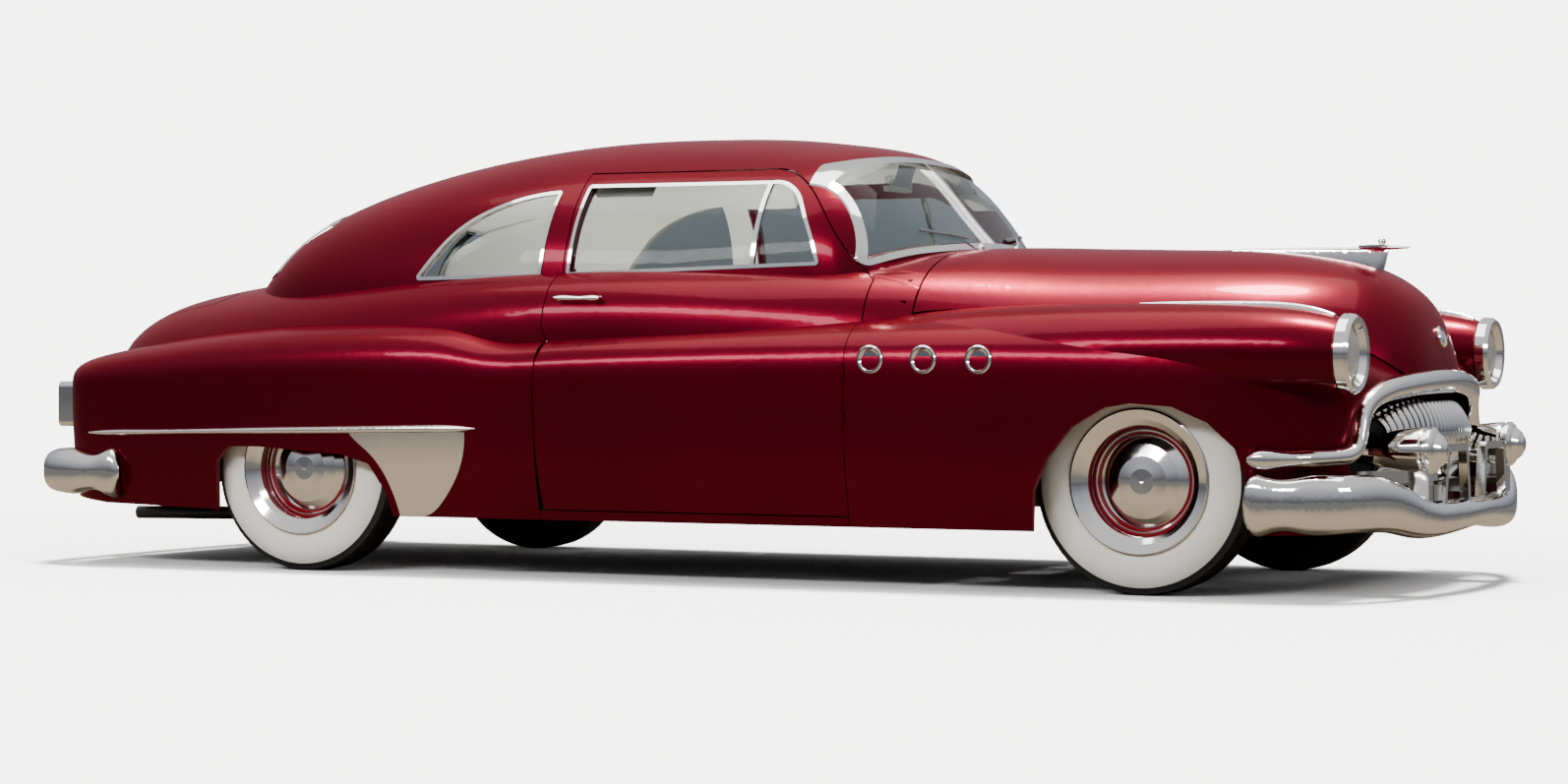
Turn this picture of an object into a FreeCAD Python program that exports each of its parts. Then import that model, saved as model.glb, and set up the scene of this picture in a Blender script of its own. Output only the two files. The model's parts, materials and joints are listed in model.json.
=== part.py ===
import FreeCAD, Part

import math
import os

from FreeCAD import Vector

# Two-door sedan of the early 1950s: pontoon fenders, tall rounded hood and a low curved roof.
# Row frame: +X forwards, +Y to the car's left, +Z up, in millimetres. The origin is on the ground
# under the middle of the overall length. The large volumes are arch-shaped forms whose sections are
# superellipses; their widths and heights are splines through a few places along the car.

# Overall sizes
LENGTH = 5200.0
WHEELBASE = 3086.0
FRONT_OVERHANG = 900.0
FRONT_AXLE_X = LENGTH / 2 - FRONT_OVERHANG
REAR_AXLE_X = FRONT_AXLE_X - WHEELBASE

# Pontoon body: fenders, lower doors and sills
PONTOON_WAIST_Z = 620.0
PONTOON_FLOOR_Z = 200.0
PONTOON_TUCK = 55.0
PONTOON_POWER = 4.5

# Centre body and greenhouse
CENTRE_BASE_Z = 600.0
GREENHOUSE_BASE_Z = 880.0

# Panels
SKIN = 22.0
PILLAR = 30.0
PANEL_GAP = 6.0
FIXED_SEAM = 0.8
TOUCH = 0.3
COWL_X = 905.0
CABIN_REAR_X = -905.0

# Doors
DOOR_REAR_X = -402.0
DOOR_FRONT_X = 748.0
DOOR_BOTTOM_Z = 236.0
DOOR_TOP_Z = 1374.0
DOOR_INNER_Y = 760.0
BELT_INNER_Y = 700.0
BELT_LEDGE_Z = 930.0
DOOR_BEVEL = 0.37
DOOR_HOLE = PANEL_GAP - 1.0

# Door hinges
HINGE_Y = 958.0
HINGE_Z = (560.0, 700.0)
BARREL_RADIUS = 4.5
BARREL_LENGTH = 34.0
HINGE_PIN_RADIUS = 2.2
RUNNING_FIT = 0.05

# Hood and rear lid pivots
HOOD_PIN_RADIUS = 4.0
HOOD_PIN_Y = 750.0
HOOD_PIN_Z = 896.0
HOOD_PIN_ROOM = 22.0
LID_PIN_RADIUS = 3.0
LID_PIN_X = -1940.0
LID_PIN_Z = 1000.0
LID_FRONT_X = -1938.0
LID_GAP = 9.0
TONGUE_HALF = 25.0
TONGUE_ROOM = 0.6

# Glass and its bright frames
GLASS_DEPTH = 9.0
GLASS_THICKNESS = 5.0
GLASS_MARGIN = 0.7
FRAME_PROUD = 4.0
SIDE_FRAME_WIDTH = 12.0
REAR_FRAME_WIDTH = 15.0
WINDSHIELD_FRAME_WIDTH = 20.0

# Wheels and axles
TYRE_RADIUS = 358.0
TYRE_WIDTH = 190.0
RIM_RADIUS = 192.0
WHEEL_BORE = 24.0
SPINDLE_RADIUS = 23.95
HUBCAP_RADIUS = 145.0
FRONT_WHEEL_Y = 712.0
REAR_WHEEL_Y = 785.0
KINGPIN_Y = 660.0
WHEEL_Z = TYRE_RADIUS

# Frame rails
RAIL_INNER_Y = 360.0
RAIL_OUTER_Y = 430.0
RAIL_FRONT_X = 2240.0
RAIL_REAR_X = -2380.0
RAIL_UNDERSIDE_Z = 250.0
RAIL_TOP_Z = 350.0

# Bumper bullets, grille teeth and portholes
BULLET_Y = 455.0
BULLET_Z = 458.0
BULLET_ROOM = 1.5
TOOTH_PITCH = 38.0
TOOTH_COUNT = 25
TOOTH_RADIUS = 11.0
TOOTH_SIDES = 12
PORTHOLE_X = (842.0, 1028.0, 1218.0)
PORTHOLE_Z = 740.0

# Lamps
LAMP_Y = 780.0
LAMP_Z = 758.0
LAMP_BACK_X = 2352.0
TAIL_LAMP_Y = 745.0


def spline(points):
    """A natural cubic spline through (x, value) pairs, as a function of x, level with its ends."""
    pairs = sorted(points)
    xs = [p[0] for p in pairs]
    ys = [p[1] for p in pairs]
    n = len(xs)
    bend = [0.0] * n
    spare = [0.0] * n
    for i in range(1, n - 1):
        share = (xs[i] - xs[i - 1]) / (xs[i + 1] - xs[i - 1])
        pivot = share * bend[i - 1] + 2.0
        bend[i] = (share - 1.0) / pivot
        rise = (ys[i + 1] - ys[i]) / (xs[i + 1] - xs[i]) - (ys[i] - ys[i - 1]) / (xs[i] - xs[i - 1])
        spare[i] = (6.0 * rise / (xs[i + 1] - xs[i - 1]) - share * spare[i - 1]) / pivot
    for i in range(n - 2, -1, -1):
        bend[i] = bend[i] * bend[i + 1] + spare[i]

    def value(x):
        x = min(max(x, xs[0]), xs[-1])
        i = max(k for k in range(n - 1) if xs[k] <= x)
        step = xs[i + 1] - xs[i]
        a = (xs[i + 1] - x) / step
        b = (x - xs[i]) / step
        return a * ys[i] + b * ys[i + 1] + ((a**3 - a) * bend[i] + (b**3 - b) * bend[i + 1]) * step**2 / 6.0

    return value


def rounded_end(x, start, end, power):
    """1 before start, falling to 0 at end along a superellipse."""
    share = (x - start) / (end - start)
    if share <= 0:
        return 1.0
    return max(0.0, 1.0 - min(share, 1.0) ** power) ** (1.0 / power)


def grid_surface(rows):
    """The cubic B-spline surface through a grid of points, with one set of knots each way."""

    def parameters(lines):
        steps = [0.0] * (len(lines[0]) - 1)
        for line in lines:
            for k in range(len(steps)):
                steps[k] += (line[k + 1] - line[k]).Length
        total, values = 0.0, [0.0]
        for step in steps:
            total += step
            values.append(total)
        return [v / total for v in values]

    columns = [list(column) for column in zip(*rows)]
    along, across = parameters(columns), parameters(rows)
    curves = []
    for row in rows:
        curve = Part.BSplineCurve()
        curve.interpolate(Points=row, Parameters=across)
        curves.append(curve)
    poles = [curve.getPoles() for curve in curves]
    lines = []
    for column in zip(*poles):
        line = Part.BSplineCurve()
        line.interpolate(Points=list(column), Parameters=along)
        lines.append(line)
    net = [list(row) for row in zip(*[line.getPoles() for line in lines])]
    surface = Part.BSplineSurface()
    surface.buildFromPolesMultsKnots(
        net, lines[0].getMultiplicities(), curves[0].getMultiplicities(),
        lines[0].getKnots(), curves[0].getKnots(), False, False, 3, 3,
    )
    return surface, along, across


class Form:
    """An arch-shaped volume: superellipse sections along X, closed by a flat floor and flat ends."""

    ARC_STEPS = 12
    SKIRT_STEPS = 4

    def __init__(self, stations, half_width, top, base, power, floor=None, tuck=0.0):
        self.stations = stations
        self.half_width = half_width
        self.top = top
        self.base = base
        self.power = power
        self.floor = floor
        self.tuck = tuck
        self.rows = [self.section(x) for x in stations]

    def section(self, x):
        """Points of one section, from the right floor edge over the top to the left floor edge."""
        width, height, power = self.half_width(x), self.top(x) - self.base, self.power(x)
        half = []
        if self.floor is not None:
            for k in range(self.SKIRT_STEPS):
                drop = 1.0 - k / self.SKIRT_STEPS
                inset = self.tuck * min(1.0, width / 600.0) * drop**2.2
                half.append((width - inset, self.base - (self.base - self.floor) * drop))
        for k in range(self.ARC_STEPS + 1):
            turn = math.pi / 2 * k / self.ARC_STEPS
            c, s = max(math.cos(turn), 0.0), math.sin(turn)
            if k == self.ARC_STEPS:
                c = 0.0
            radius = (c**power + s**power) ** (-1.0 / power)
            half.append((width * c * radius, self.base + height * s * radius))
        points = [Vector(x, -y, z) for y, z in half]
        points += [Vector(x, y, z) for y, z in reversed(half[:-1])]
        return points

    def side_y(self, x, z):
        """Distance of the surface from the middle plane at a place along the car and a height."""
        width = self.half_width(x)
        if z < self.base:
            drop = (self.base - z) / (self.base - self.floor)
            return width - self.tuck * min(1.0, width / 600.0) * drop**2.2
        share = (z - self.base) / (self.top(x) - self.base)
        return width * max(0.0, 1.0 - share ** self.power(x)) ** (1.0 / self.power(x))

    def offset_rows(self, distance, floor):
        """The grid moved along its own normals; ends move along X and the floor edges stay level."""
        surface, along, across = grid_surface(self.rows)
        rows = []
        last = len(self.rows) - 1
        for i, row in enumerate(self.rows):
            moved = []
            for j, point in enumerate(row):
                normal = surface.normal(along[i], across[j])
                if normal.dot(point - Vector(point.x, 0, self.base - 400.0)) < 0:
                    normal = normal.negative()
                if i in (0, last):
                    normal = Vector(0, normal.y, normal.z).normalize()
                target = point + normal * distance
                if i in (0, last):
                    ahead = 1.0 if self.rows[i][0].x > self.rows[last - i][0].x else -1.0
                    target.x = point.x + ahead * distance
                if j in (0, len(row) - 1):
                    target.z = point.z
                moved.append(target)
            if floor is not None:
                moved[0].z = moved[-1].z = floor
            rows.append(moved)
        return rows

    def solid(self, distance=0.0, floor=None):
        """The volume, grown outwards by distance, with its floor edges moved to floor if given."""
        rows = self.offset_rows(distance, floor) if distance else self.rows
        surface, _, _ = grid_surface(rows)
        return close_form(surface, rows)


def close_form(surface, rows, curved_floor=False):
    """A solid from an arch surface: the surface, a floor between its long edges and two flat ends."""
    arch = surface.toShape()
    edges = []
    first, last = rows[0], rows[-1]
    ends = ((first[0], first[-1]), (last[0], last[-1]), (first[0], last[0]), (first[-1], last[-1]))
    for start, end in ends:
        edges.append(min(arch.Edges, key=lambda e: edge_miss(e, start, end)))
    front_arc, rear_arc, right, left = edges
    front_line = Part.makeLine(rows[0][0], rows[0][-1])
    rear_line = Part.makeLine(rows[-1][0], rows[-1][-1])
    faces = [
        arch,
        Part.Face(Part.Wire(Part.__sortEdges__([front_arc, front_line]))),
        Part.Face(Part.Wire(Part.__sortEdges__([rear_arc, rear_line]))),
    ]
    if curved_floor:
        faces.append(Part.makeRuledSurface(right, left))
    else:
        faces.append(Part.Face(Part.Wire(Part.__sortEdges__([front_line, right, rear_line, left]))))
    return sewn(faces)


def edge_miss(edge, start, end):
    """How far an edge's ends are from two points, in either order."""
    a, b = edge.Vertexes[0].Point, edge.Vertexes[-1].Point
    return min((a - start).Length + (b - end).Length, (a - end).Length + (b - start).Length)


def sewn(faces):
    """A solid from faces sewn into one closed shell, with its faces outwards."""
    shell = Part.makeShell(faces)
    shell.sewShape()
    solid = Part.Solid(shell)
    if solid.Volume < 0:
        solid.reverse()
    return solid


def stations(*spans):
    """X positions from (start, end, steps) spans, ends shared."""
    found = []
    for start, end, steps in spans:
        for k in range(steps + 1):
            x = start + (end - start) * k / steps
            if not found or abs(found[-1] - x) > 1e-6:
                found.append(x)
    return found


# Pontoon form
pontoon_width = spline([
    (2500, 930), (2100, 938), (1700, 950), (1200, 956), (500, 957), (-200, 955), (-560, 954),
    (-800, 962), (-1386, 968), (-1800, 960), (-2200, 945), (-2600, 915),
])
pontoon_top = spline([
    (2400, 690), (2320, 752), (2200, 805), (2000, 868), (1757, 895), (1200, 908), (750, 903),
    (100, 880), (-400, 852), (-560, 848), (-640, 862), (-740, 888), (-870, 902), (-1100, 902),
    (-1370, 888), (-1784, 850), (-2081, 808), (-2276, 774), (-2370, 750), (-2420, 730),
    (-2450, 712), (-2470, 690),
])
PONTOON = Form(
    stations((2400, 2280, 4), (2280, 2000, 4), (2000, -350, 15), (-350, -900, 8), (-900, -2100, 9),
             (-2100, -2300, 4), (-2300, -2420, 5), (-2420, -2470, 5)),
    lambda x: pontoon_width(x) * rounded_end(x, 1750, 2425, 3.0) * rounded_end(x, -2150, -2480, 3.7),
    pontoon_top,
    PONTOON_WAIST_Z,
    lambda x: PONTOON_POWER,
    floor=PONTOON_FLOOR_Z,
    tuck=PONTOON_TUCK,
)

# Centre form: hood, cowl, upper doors and rear deck
centre_width = spline([
    (2600, 420), (2300, 480), (2000, 560), (1700, 630), (1300, 720), (905, 805), (500, 868),
    (-300, 882), (-900, 872), (-1386, 835), (-1800, 780), (-2200, 705), (-2600, 640),
])
centre_top = spline([
    (2462, 660), (2450, 740), (2430, 820), (2395, 905), (2340, 970), (2250, 1025), (2130, 1060),
    (1950, 1086), (1682, 1101), (1300, 1110), (905, 1110), (700, 1090), (500, 1075), (-300, 1072),
    (-1000, 1060), (-1600, 1040), (-1880, 1016), (-2040, 993), (-2200, 958), (-2330, 905),
    (-2420, 845), (-2465, 785), (-2488, 725),
])
centre_power = spline([
    (2470, 2.3), (1700, 2.5), (1200, 2.8), (905, 3.4), (600, 4.6), (-900, 4.8), (-1400, 3.6),
    (-1900, 3.0), (-2480, 3.0),
])
CENTRE = Form(
    stations((2462, 2430, 3), (2430, 2340, 4), (2340, 2000, 6), (2000, 900, 9), (900, -1500, 16),
             (-1500, -2200, 7), (-2200, -2400, 4), (-2400, -2488, 4)),
    lambda x: centre_width(x) * rounded_end(x, 1900, 2480, 2.6) * rounded_end(x, -2050, -2515, 3.0),
    centre_top,
    CENTRE_BASE_Z,
    centre_power,
)

# Greenhouse form: windshield, roof and rear window
greenhouse_width = spline([
    (950, 750), (500, 752), (-200, 756), (-900, 742), (-1386, 705), (-1700, 660), (-2000, 620),
])
greenhouse_top = spline([
    (905, 1097), (880, 1120), (750, 1262), (620, 1400), (540, 1447), (400, 1478), (200, 1500),
    (-100, 1511), (-400, 1508), (-720, 1481), (-1134, 1408), (-1388, 1338), (-1517, 1290),
    (-1620, 1238), (-1740, 1140), (-1860, 1034), (-1930, 978),
])
greenhouse_power = spline([(905, 3.0), (600, 3.1), (300, 2.75), (-900, 2.7), (-1500, 2.6), (-1930, 2.6)])
GREENHOUSE = Form(
    stations((905, 860, 3), (860, 540, 7), (540, 200, 4), (200, -1300, 10), (-1300, -1740, 5),
             (-1740, -1930, 4)),
    lambda x: greenhouse_width(x) * rounded_end(x, 450, 918, 2.6) * rounded_end(x, -1400, -1965, 2.6),
    greenhouse_top,
    GREENHOUSE_BASE_Z,
    greenhouse_power,
)

# Headlight pods, one on the crown of each front fender
pod_y = spline([(2400, 780), (2200, 778), (1800, 770), (1300, 760), (850, 745)])
pod_width = spline([(2352, 112), (2250, 138), (2100, 158), (1700, 172), (1300, 165), (850, 118)])
pod_centre_z = spline([(2400, 758), (2200, 765), (1700, 760), (850, 740)])
pod_top = spline([(2352, 868), (2250, 893), (2100, 908), (1757, 917), (1300, 912), (1050, 900), (850, 880)])


def pod_solid(distance=0.0):
    """The right pod, a long egg shape around its own centre line, grown outwards by distance."""
    wires = []
    for x in (LAMP_BACK_X, 2250, 2100, 1900, 1700, 1500, 1300, 1050, 850):
        a = pod_width(x) + distance
        b = pod_top(x) - pod_centre_z(x) + distance
        points = []
        for k in range(16):
            turn = 2.0 * math.pi * k / 16
            points.append(Vector(x, -pod_y(x) + a * math.cos(turn), pod_centre_z(x) + b * math.sin(turn)))
        curve = Part.BSplineCurve()
        curve.interpolate(Points=points, PeriodicFlag=True)
        wires.append(Part.Wire(curve.toShape()))
    wires[0].translate(Vector(distance, 0, 0))
    return Part.makeLoft(wires, True, False)


# Plain solids
def box(x0, x1, y0, y1, z0, z1):
    return Part.makeBox(x1 - x0, y1 - y0, z1 - z0, Vector(x0, y0, z0))


def rod_y(radius, y0, y1, x, z):
    return Part.makeCylinder(radius, y1 - y0, Vector(x, y0, z), Vector(0, 1, 0))


def rod_z(radius, z0, z1, x, y):
    return Part.makeCylinder(radius, z1 - z0, Vector(x, y, z0), Vector(0, 0, 1))


def rod_x(radius, x0, x1, y, z):
    return Part.makeCylinder(radius, x1 - x0, Vector(x0, y, z), Vector(1, 0, 0))


def outline(points, rounding=0.0):
    """A closed wire through corner points, each corner rounded by an arc when rounding is given."""
    if not rounding:
        return Part.makePolygon(points + [points[0]])
    edges = []
    ends = []
    for k, corner in enumerate(points):
        before = (points[k - 1] - corner).normalize()
        after = (points[(k + 1) % len(points)] - corner).normalize()
        half = before.getAngle(after) / 2.0
        reach = rounding / math.tan(half)
        middle = (before + after).normalize() * (rounding / math.sin(half) - rounding)
        ends.append((corner + before * reach, corner + middle, corner + after * reach))
    for k, (start, mid, end) in enumerate(ends):
        edges.append(Part.Arc(start, mid, end).toShape())
        edges.append(Part.makeLine(end, ends[(k + 1) % len(ends)][0]))
    return Part.Wire(edges)


def curved_wire(runs):
    """A closed wire from runs of points; a run of two points is straight, a longer one is smooth."""
    edges = []
    for run in runs:
        if len(run) == 2:
            edges.append(Part.makeLine(run[0], run[1]))
        else:
            edges.append(curve_edge(run))
    return Part.Wire(edges)


def side_window(runs, y0, y1, grow=0.0):
    """A window outline in the side view, given as runs of (x, z), taken from y0 to y1."""
    wire = curved_wire([[Vector(x, y0, z) for x, z in run] for run in runs])
    return grown_window(wire, grow).extrude(Vector(0, y1 - y0, 0))


def front_window(runs, x0, x1, grow=0.0):
    """The same for a window seen from the front, given as runs of (y, z)."""
    wire = curved_wire([[Vector(x0, y, z) for y, z in run] for run in runs])
    return grown_window(wire, grow).extrude(Vector(x1 - x0, 0, 0))


def grown_window(wire, grow):
    """The face in a window's wire, grown by a distance; its curved runs are redrawn through points."""
    if not grow:
        return Part.Face(wire)
    edges = []
    for edge in wire.makeOffset2D(grow).OrderedEdges:
        plain = edge.Curve.TypeId in ("Part::GeomLine", "Part::GeomCircle")
        edges.append(edge if plain else curve_edge(edge.discretize(30)))
    return Part.Face(Part.Wire(edges))


def grown_face(wire, grow):
    face = Part.Face(wire)
    return face.makeOffset2D(grow) if grow else face


def side_prism(points, y0, y1, rounding=0.0, grow=0.0):
    """An outline in the side view, given as (x, z), taken from y0 to y1."""
    wire = outline([Vector(x, y0, z) for x, z in points], rounding)
    return grown_face(wire, grow).extrude(Vector(0, y1 - y0, 0))


def plan_prism(points, z0, z1, rounding=0.0, grow=0.0):
    wire = outline([Vector(x, y, z0) for x, y in points], rounding)
    return grown_face(wire, grow).extrude(Vector(0, 0, z1 - z0))


def front_prism(points, x0, x1, rounding=0.0, grow=0.0):
    wire = outline([Vector(x0, y, z) for y, z in points], rounding)
    return grown_face(wire, grow).extrude(Vector(x1 - x0, 0, 0))


def curve_edge(points):
    curve = Part.BSplineCurve()
    curve.interpolate(points)
    return curve.toShape()


def mirrored(shape):
    """The same shape on the other side of the car."""
    return shape.mirror(Vector(0, 0, 0), Vector(0, 1, 0))


def both(shape):
    return [shape, mirrored(shape)]


def both_list(shape):
    """The solids of a shape and of its mirror image."""
    return shape.Solids + mirrored(shape).Solids


def largest(shape):
    return max(shape.Solids, key=lambda piece: piece.Volume)


def cut(shape, *tools):
    for tool in tools:
        shape = shape.cut(tool)
    return shape


def lathe_x(points, y, z):
    """A ring of revolution about a line along X; points are (x, radius) corners."""
    face = Part.Face(Part.makePolygon([Vector(x, y, z + r) for x, r in points + points[:1]]))
    return face.revolve(Vector(0, y, z), Vector(1, 0, 0), 360)


def ribbon(places, samples=24, power=3.0):
    """A flat-backed bar with a rounded face along a smooth line.

    Each place is (point on the middle of the outer face, outward direction, width, depth).
    """
    line = Part.BSplineCurve()
    line.interpolate([place[0] for place in places])
    knots = [line.parameter(place[0]) for place in places]

    def follow(values):
        return spline(list(zip(knots, values)))

    lean = [follow([getattr(place[1], axis) for place in places]) for axis in ("x", "y", "z")]
    width, depth = follow([place[2] for place in places]), follow([place[3] for place in places])
    rows = []
    for k in range(samples + 1):
        u = knots[0] + (knots[-1] - knots[0]) * k / samples
        outward = Vector(lean[0](u), lean[1](u), lean[2](u)).normalize()
        along = Vector(*line.tangent(u))
        across = along.cross(outward).normalize()
        outward = across.cross(along).normalize()
        back = line.value(u) - outward * depth(u)
        row = []
        for step in range(9):
            turn = math.pi * (step - 4) / 8.0
            c, t = max(math.cos(turn), 0.0), math.sin(turn)
            if step in (0, 8):
                c = 0.0
            radius = (c**power + abs(t) ** power) ** (-1.0 / power)
            row.append(back + across * (width(u) / 2.0 * t * radius) + outward * (depth(u) * c * radius))
        rows.append(row)
    surface, _, _ = grid_surface(rows)
    return close_form(surface, rows, curved_floor=True)


def lathe_y(points, x, z):
    """A ring of revolution about an axle along Y; points are (radius, y) corners."""
    face = Part.Face(Part.makePolygon([Vector(x + r, y, z) for r, y in points + points[:1]]))
    return face.revolve(Vector(x, 0, z), Vector(0, 1, 0), 360)


def tube(points, radius, bend):
    """A round bar along straight runs joined by arcs of the bend radius."""
    edges = []
    start = points[0]
    for before, corner, after in zip(points, points[1:], points[2:]):
        back, ahead = (before - corner).normalize(), (after - corner).normalize()
        half = back.getAngle(ahead) / 2.0
        reach = bend / math.tan(half)
        middle = corner + (back + ahead).normalize() * (bend / math.sin(half) - bend)
        edges.append(Part.makeLine(start, corner + back * reach))
        edges.append(Part.Arc(corner + back * reach, middle, corner + ahead * reach).toShape())
        start = corner + ahead * reach
    edges.append(Part.makeLine(start, points[-1]))
    ring = Part.makeCircle(radius, points[0], points[1] - points[0])
    return Part.Wire(edges).makePipe(Part.Face(Part.Wire(ring)))


# Wheels
def tyre(x, y):
    """A crossply tyre with rounded shoulders and a shallow rim seat, axle along Y."""
    half = TYRE_WIDTH / 2
    r = TYRE_RADIUS
    seat = RIM_RADIUS + TOUCH
    side = [(seat, 0.72), (seat + 28, 0.90), (seat + 70, 1.0), (seat + 105, 0.985), (r - 34, 0.86),
            (r - 10, 0.74), (r, 0.55)]
    profile = [(radius, -half * share) for radius, share in side]
    profile += [(radius, half * share) for radius, share in reversed(side)]
    walls = [Vector(x + radius, y + across, WHEEL_Z) for radius, across in profile]
    carcass = Part.BSplineCurve()
    carcass.interpolate(walls)
    face = Part.Face(Part.Wire([carcass.toShape(), Part.makeLine(walls[-1], walls[0])]))
    return face.revolve(Vector(x, 0, WHEEL_Z), Vector(0, 1, 0), 360)


def wheel(x, y):
    """Rim, trim ring, dished disc, hub and domed cap in one piece; the outside faces -Y."""
    seat = TYRE_WIDTH / 2 * 0.72
    rim = RIM_RADIUS
    bore = WHEEL_BORE
    well = lathe_y([(rim, -seat), (rim, seat), (rim - 8, seat), (rim - 14, 28), (rim - 14, -28),
                    (rim - 8, -seat)], x, WHEEL_Z)
    disc = lathe_y([(bore, -30), (150, -30), (160, -38), (172, -38), (rim - 13, -30), (rim - 13, -18),
                    (bore, -18)], x, WHEEL_Z)
    cap = lathe_y([(0, -66), (40, -65), (80, -59), (118, -47), (HUBCAP_RADIUS, -34), (HUBCAP_RADIUS, -28),
                   (0, -28)], x, WHEEL_Z)
    trim = lathe_y([(rim - 18, -60), (rim - 2, -67), (rim + 4, -74.5), (rim + 37, -92.5), (rim + 39, -95.5),
                    (rim + 34, -97), (rim + 4, -82), (rim - 16, -70)], x, WHEEL_Z)
    hub = lathe_y([(bore, -20), (105, -20), (105, 14), (97, 14), (97, -10), (bore + 20, -10),
                   (bore + 20, 14), (bore, 14)], x, WHEEL_Z)
    body = well.fuse([disc, cap, trim, hub])
    body.translate(Vector(0, y, 0))
    return body


# Openings in the side, as (height, half width) of the surface that the door's rear edge follows
SIDE_SURFACE = [
    (100, 955), (770, 955), (850, 850), (950, 838), (1035, 750), (1170, 730), (1290, 660),
    (1400, 560), (1500, 560),
]


def door_region(grow):
    """The door's outline from the side, grown by a gap, with the rear face bevelled for the swing."""
    outside = -1010.0
    belt = 1000.0
    top = DOOR_TOP_Z + grow
    bottom = DOOR_BOTTOM_Z - grow
    front = DOOR_FRONT_X + grow
    corners = [Vector(front, outside, belt), Vector(front, outside, bottom), Vector(-620, outside, bottom),
               Vector(-620, outside, top), Vector(280, outside, top)]
    slope = [(280, DOOR_TOP_Z, 0.0, 1.0), (400, 1356, 0.5, 1.0), (490, 1296, 0.8, 0.7), (600, 1150, 0.8, 0.7),
             (690, 1042, 0.8, 0.7), (DOOR_FRONT_X, belt, 1.0, 0.0)]
    pillar = [Vector(x + grow * ahead, outside, z + grow * up) for x, z, ahead, up in slope]
    edges = [Part.makeLine(a, b) for a, b in zip(corners, corners[1:])]
    edges.append(curve_edge(pillar))
    region = Part.Face(Part.Wire(edges)).extrude(Vector(0, 510, 0))
    below = box(-700, 900, outside, -BELT_INNER_Y + grow, 100, belt - grow)
    above = box(-700, 900, outside, -490, belt - grow, 1500)
    region = region.common(below.fuse(above))
    back = [(DOOR_REAR_X - grow - DOOR_BEVEL * (1010 - y), z) for z, y in SIDE_SURFACE]
    bevel = Part.Face(outline([Vector(x, outside, z) for x, z in back + [(1200, 1500), (1200, 100)]]))
    return region.common(bevel.extrude(Vector(DOOR_BEVEL * 520, 520, 0)))


DOOR_WINDOW = [
    [(-378, 1034), (-364, 1325)],
    [(-364, 1325), (330, 1324)],
    [(330, 1324), (395, 1314), (438, 1284), (484, 1210), (520, 1135), (545, 1060)],
    [(545, 1060), (-378, 1034)],
]
QUARTER_WINDOW = [
    [(-985, 1024), (-502, 1030)],
    [(-502, 1030), (-484, 1306)],
    [(-484, 1306), (-600, 1290), (-720, 1252), (-820, 1198), (-912, 1112), (-985, 1024)],
]
WINDSHIELD_OPENING = [
    [(-676, 1068), (-600, 1092), (-420, 1117), (0, 1135), (420, 1117), (600, 1092), (676, 1068)],
    [(676, 1068), (604, 1328)],
    [(604, 1328), (520, 1371), (380, 1396), (0, 1414), (-380, 1396), (-520, 1371), (-604, 1328)],
    [(-604, 1328), (-676, 1068)],
]
REAR_WINDOW = [
    [(-545, 1052), (-300, 1034), (0, 1028), (300, 1034), (545, 1052)],
    [(545, 1052), (475, 1218)],
    [(475, 1218), (300, 1246), (0, 1254), (-300, 1246), (-475, 1218)],
    [(-475, 1218), (-545, 1052)],
]


class Volumes:
    """The forms that the panels are cut from, at the surface, inside the skin and grown by the panel gap."""

    def __init__(self):
        self.pontoon = PONTOON.solid()
        self.centre = CENTRE.solid()
        self.greenhouse = GREENHOUSE.solid()
        self.pods = both(pod_solid())
        self.pontoon_in = PONTOON.solid(-SKIN, 150.0)
        self.centre_in = CENTRE.solid(-SKIN)
        self.greenhouse_in = GREENHOUSE.solid(-PILLAR)
        self.pods_in = both(pod_solid(-SKIN))
        self.pontoon_grown = PONTOON.solid(PANEL_GAP)
        self.pontoon_near = PONTOON.solid(FIXED_SEAM)
        self.pods_grown = both(pod_solid(PANEL_GAP))
        self.greenhouse_proud = GREENHOUSE.solid(FRAME_PROUD)
        self.glass_outside = GREENHOUSE.solid(-GLASS_DEPTH)
        self.glass_inside = GREENHOUSE.solid(-GLASS_DEPTH - GLASS_THICKNESS)


def nose_opening(rise=0.0):
    """The room under the bonnet's front edge, above which the bonnet's skin stays."""
    nose = [(900, 300), (900, 560), (640, 590), (470, 640), (250, 690), (0, 706)]
    corners = [(-y, z) for y, z in nose] + list(reversed(nose[:-1]))
    return front_prism([(y, z + rise) for y, z in corners], 1500, 2700)


def hood_panel(v):
    """The bonnet: the centre form's skin ahead of the cowl, between the fenders and above the grille."""
    behind = box(-3000, COWL_X + PANEL_GAP, -1200, 1200, 0, 2000)
    pin_hole = rod_x(HOOD_PIN_RADIUS + RUNNING_FIT, COWL_X, COWL_X + 31, HOOD_PIN_Y, HOOD_PIN_Z)
    skin = cut(v.centre, v.centre_in, v.pontoon_grown, *v.pods_grown)
    return largest(cut(skin, behind, nose_opening(), pin_hole))


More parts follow.
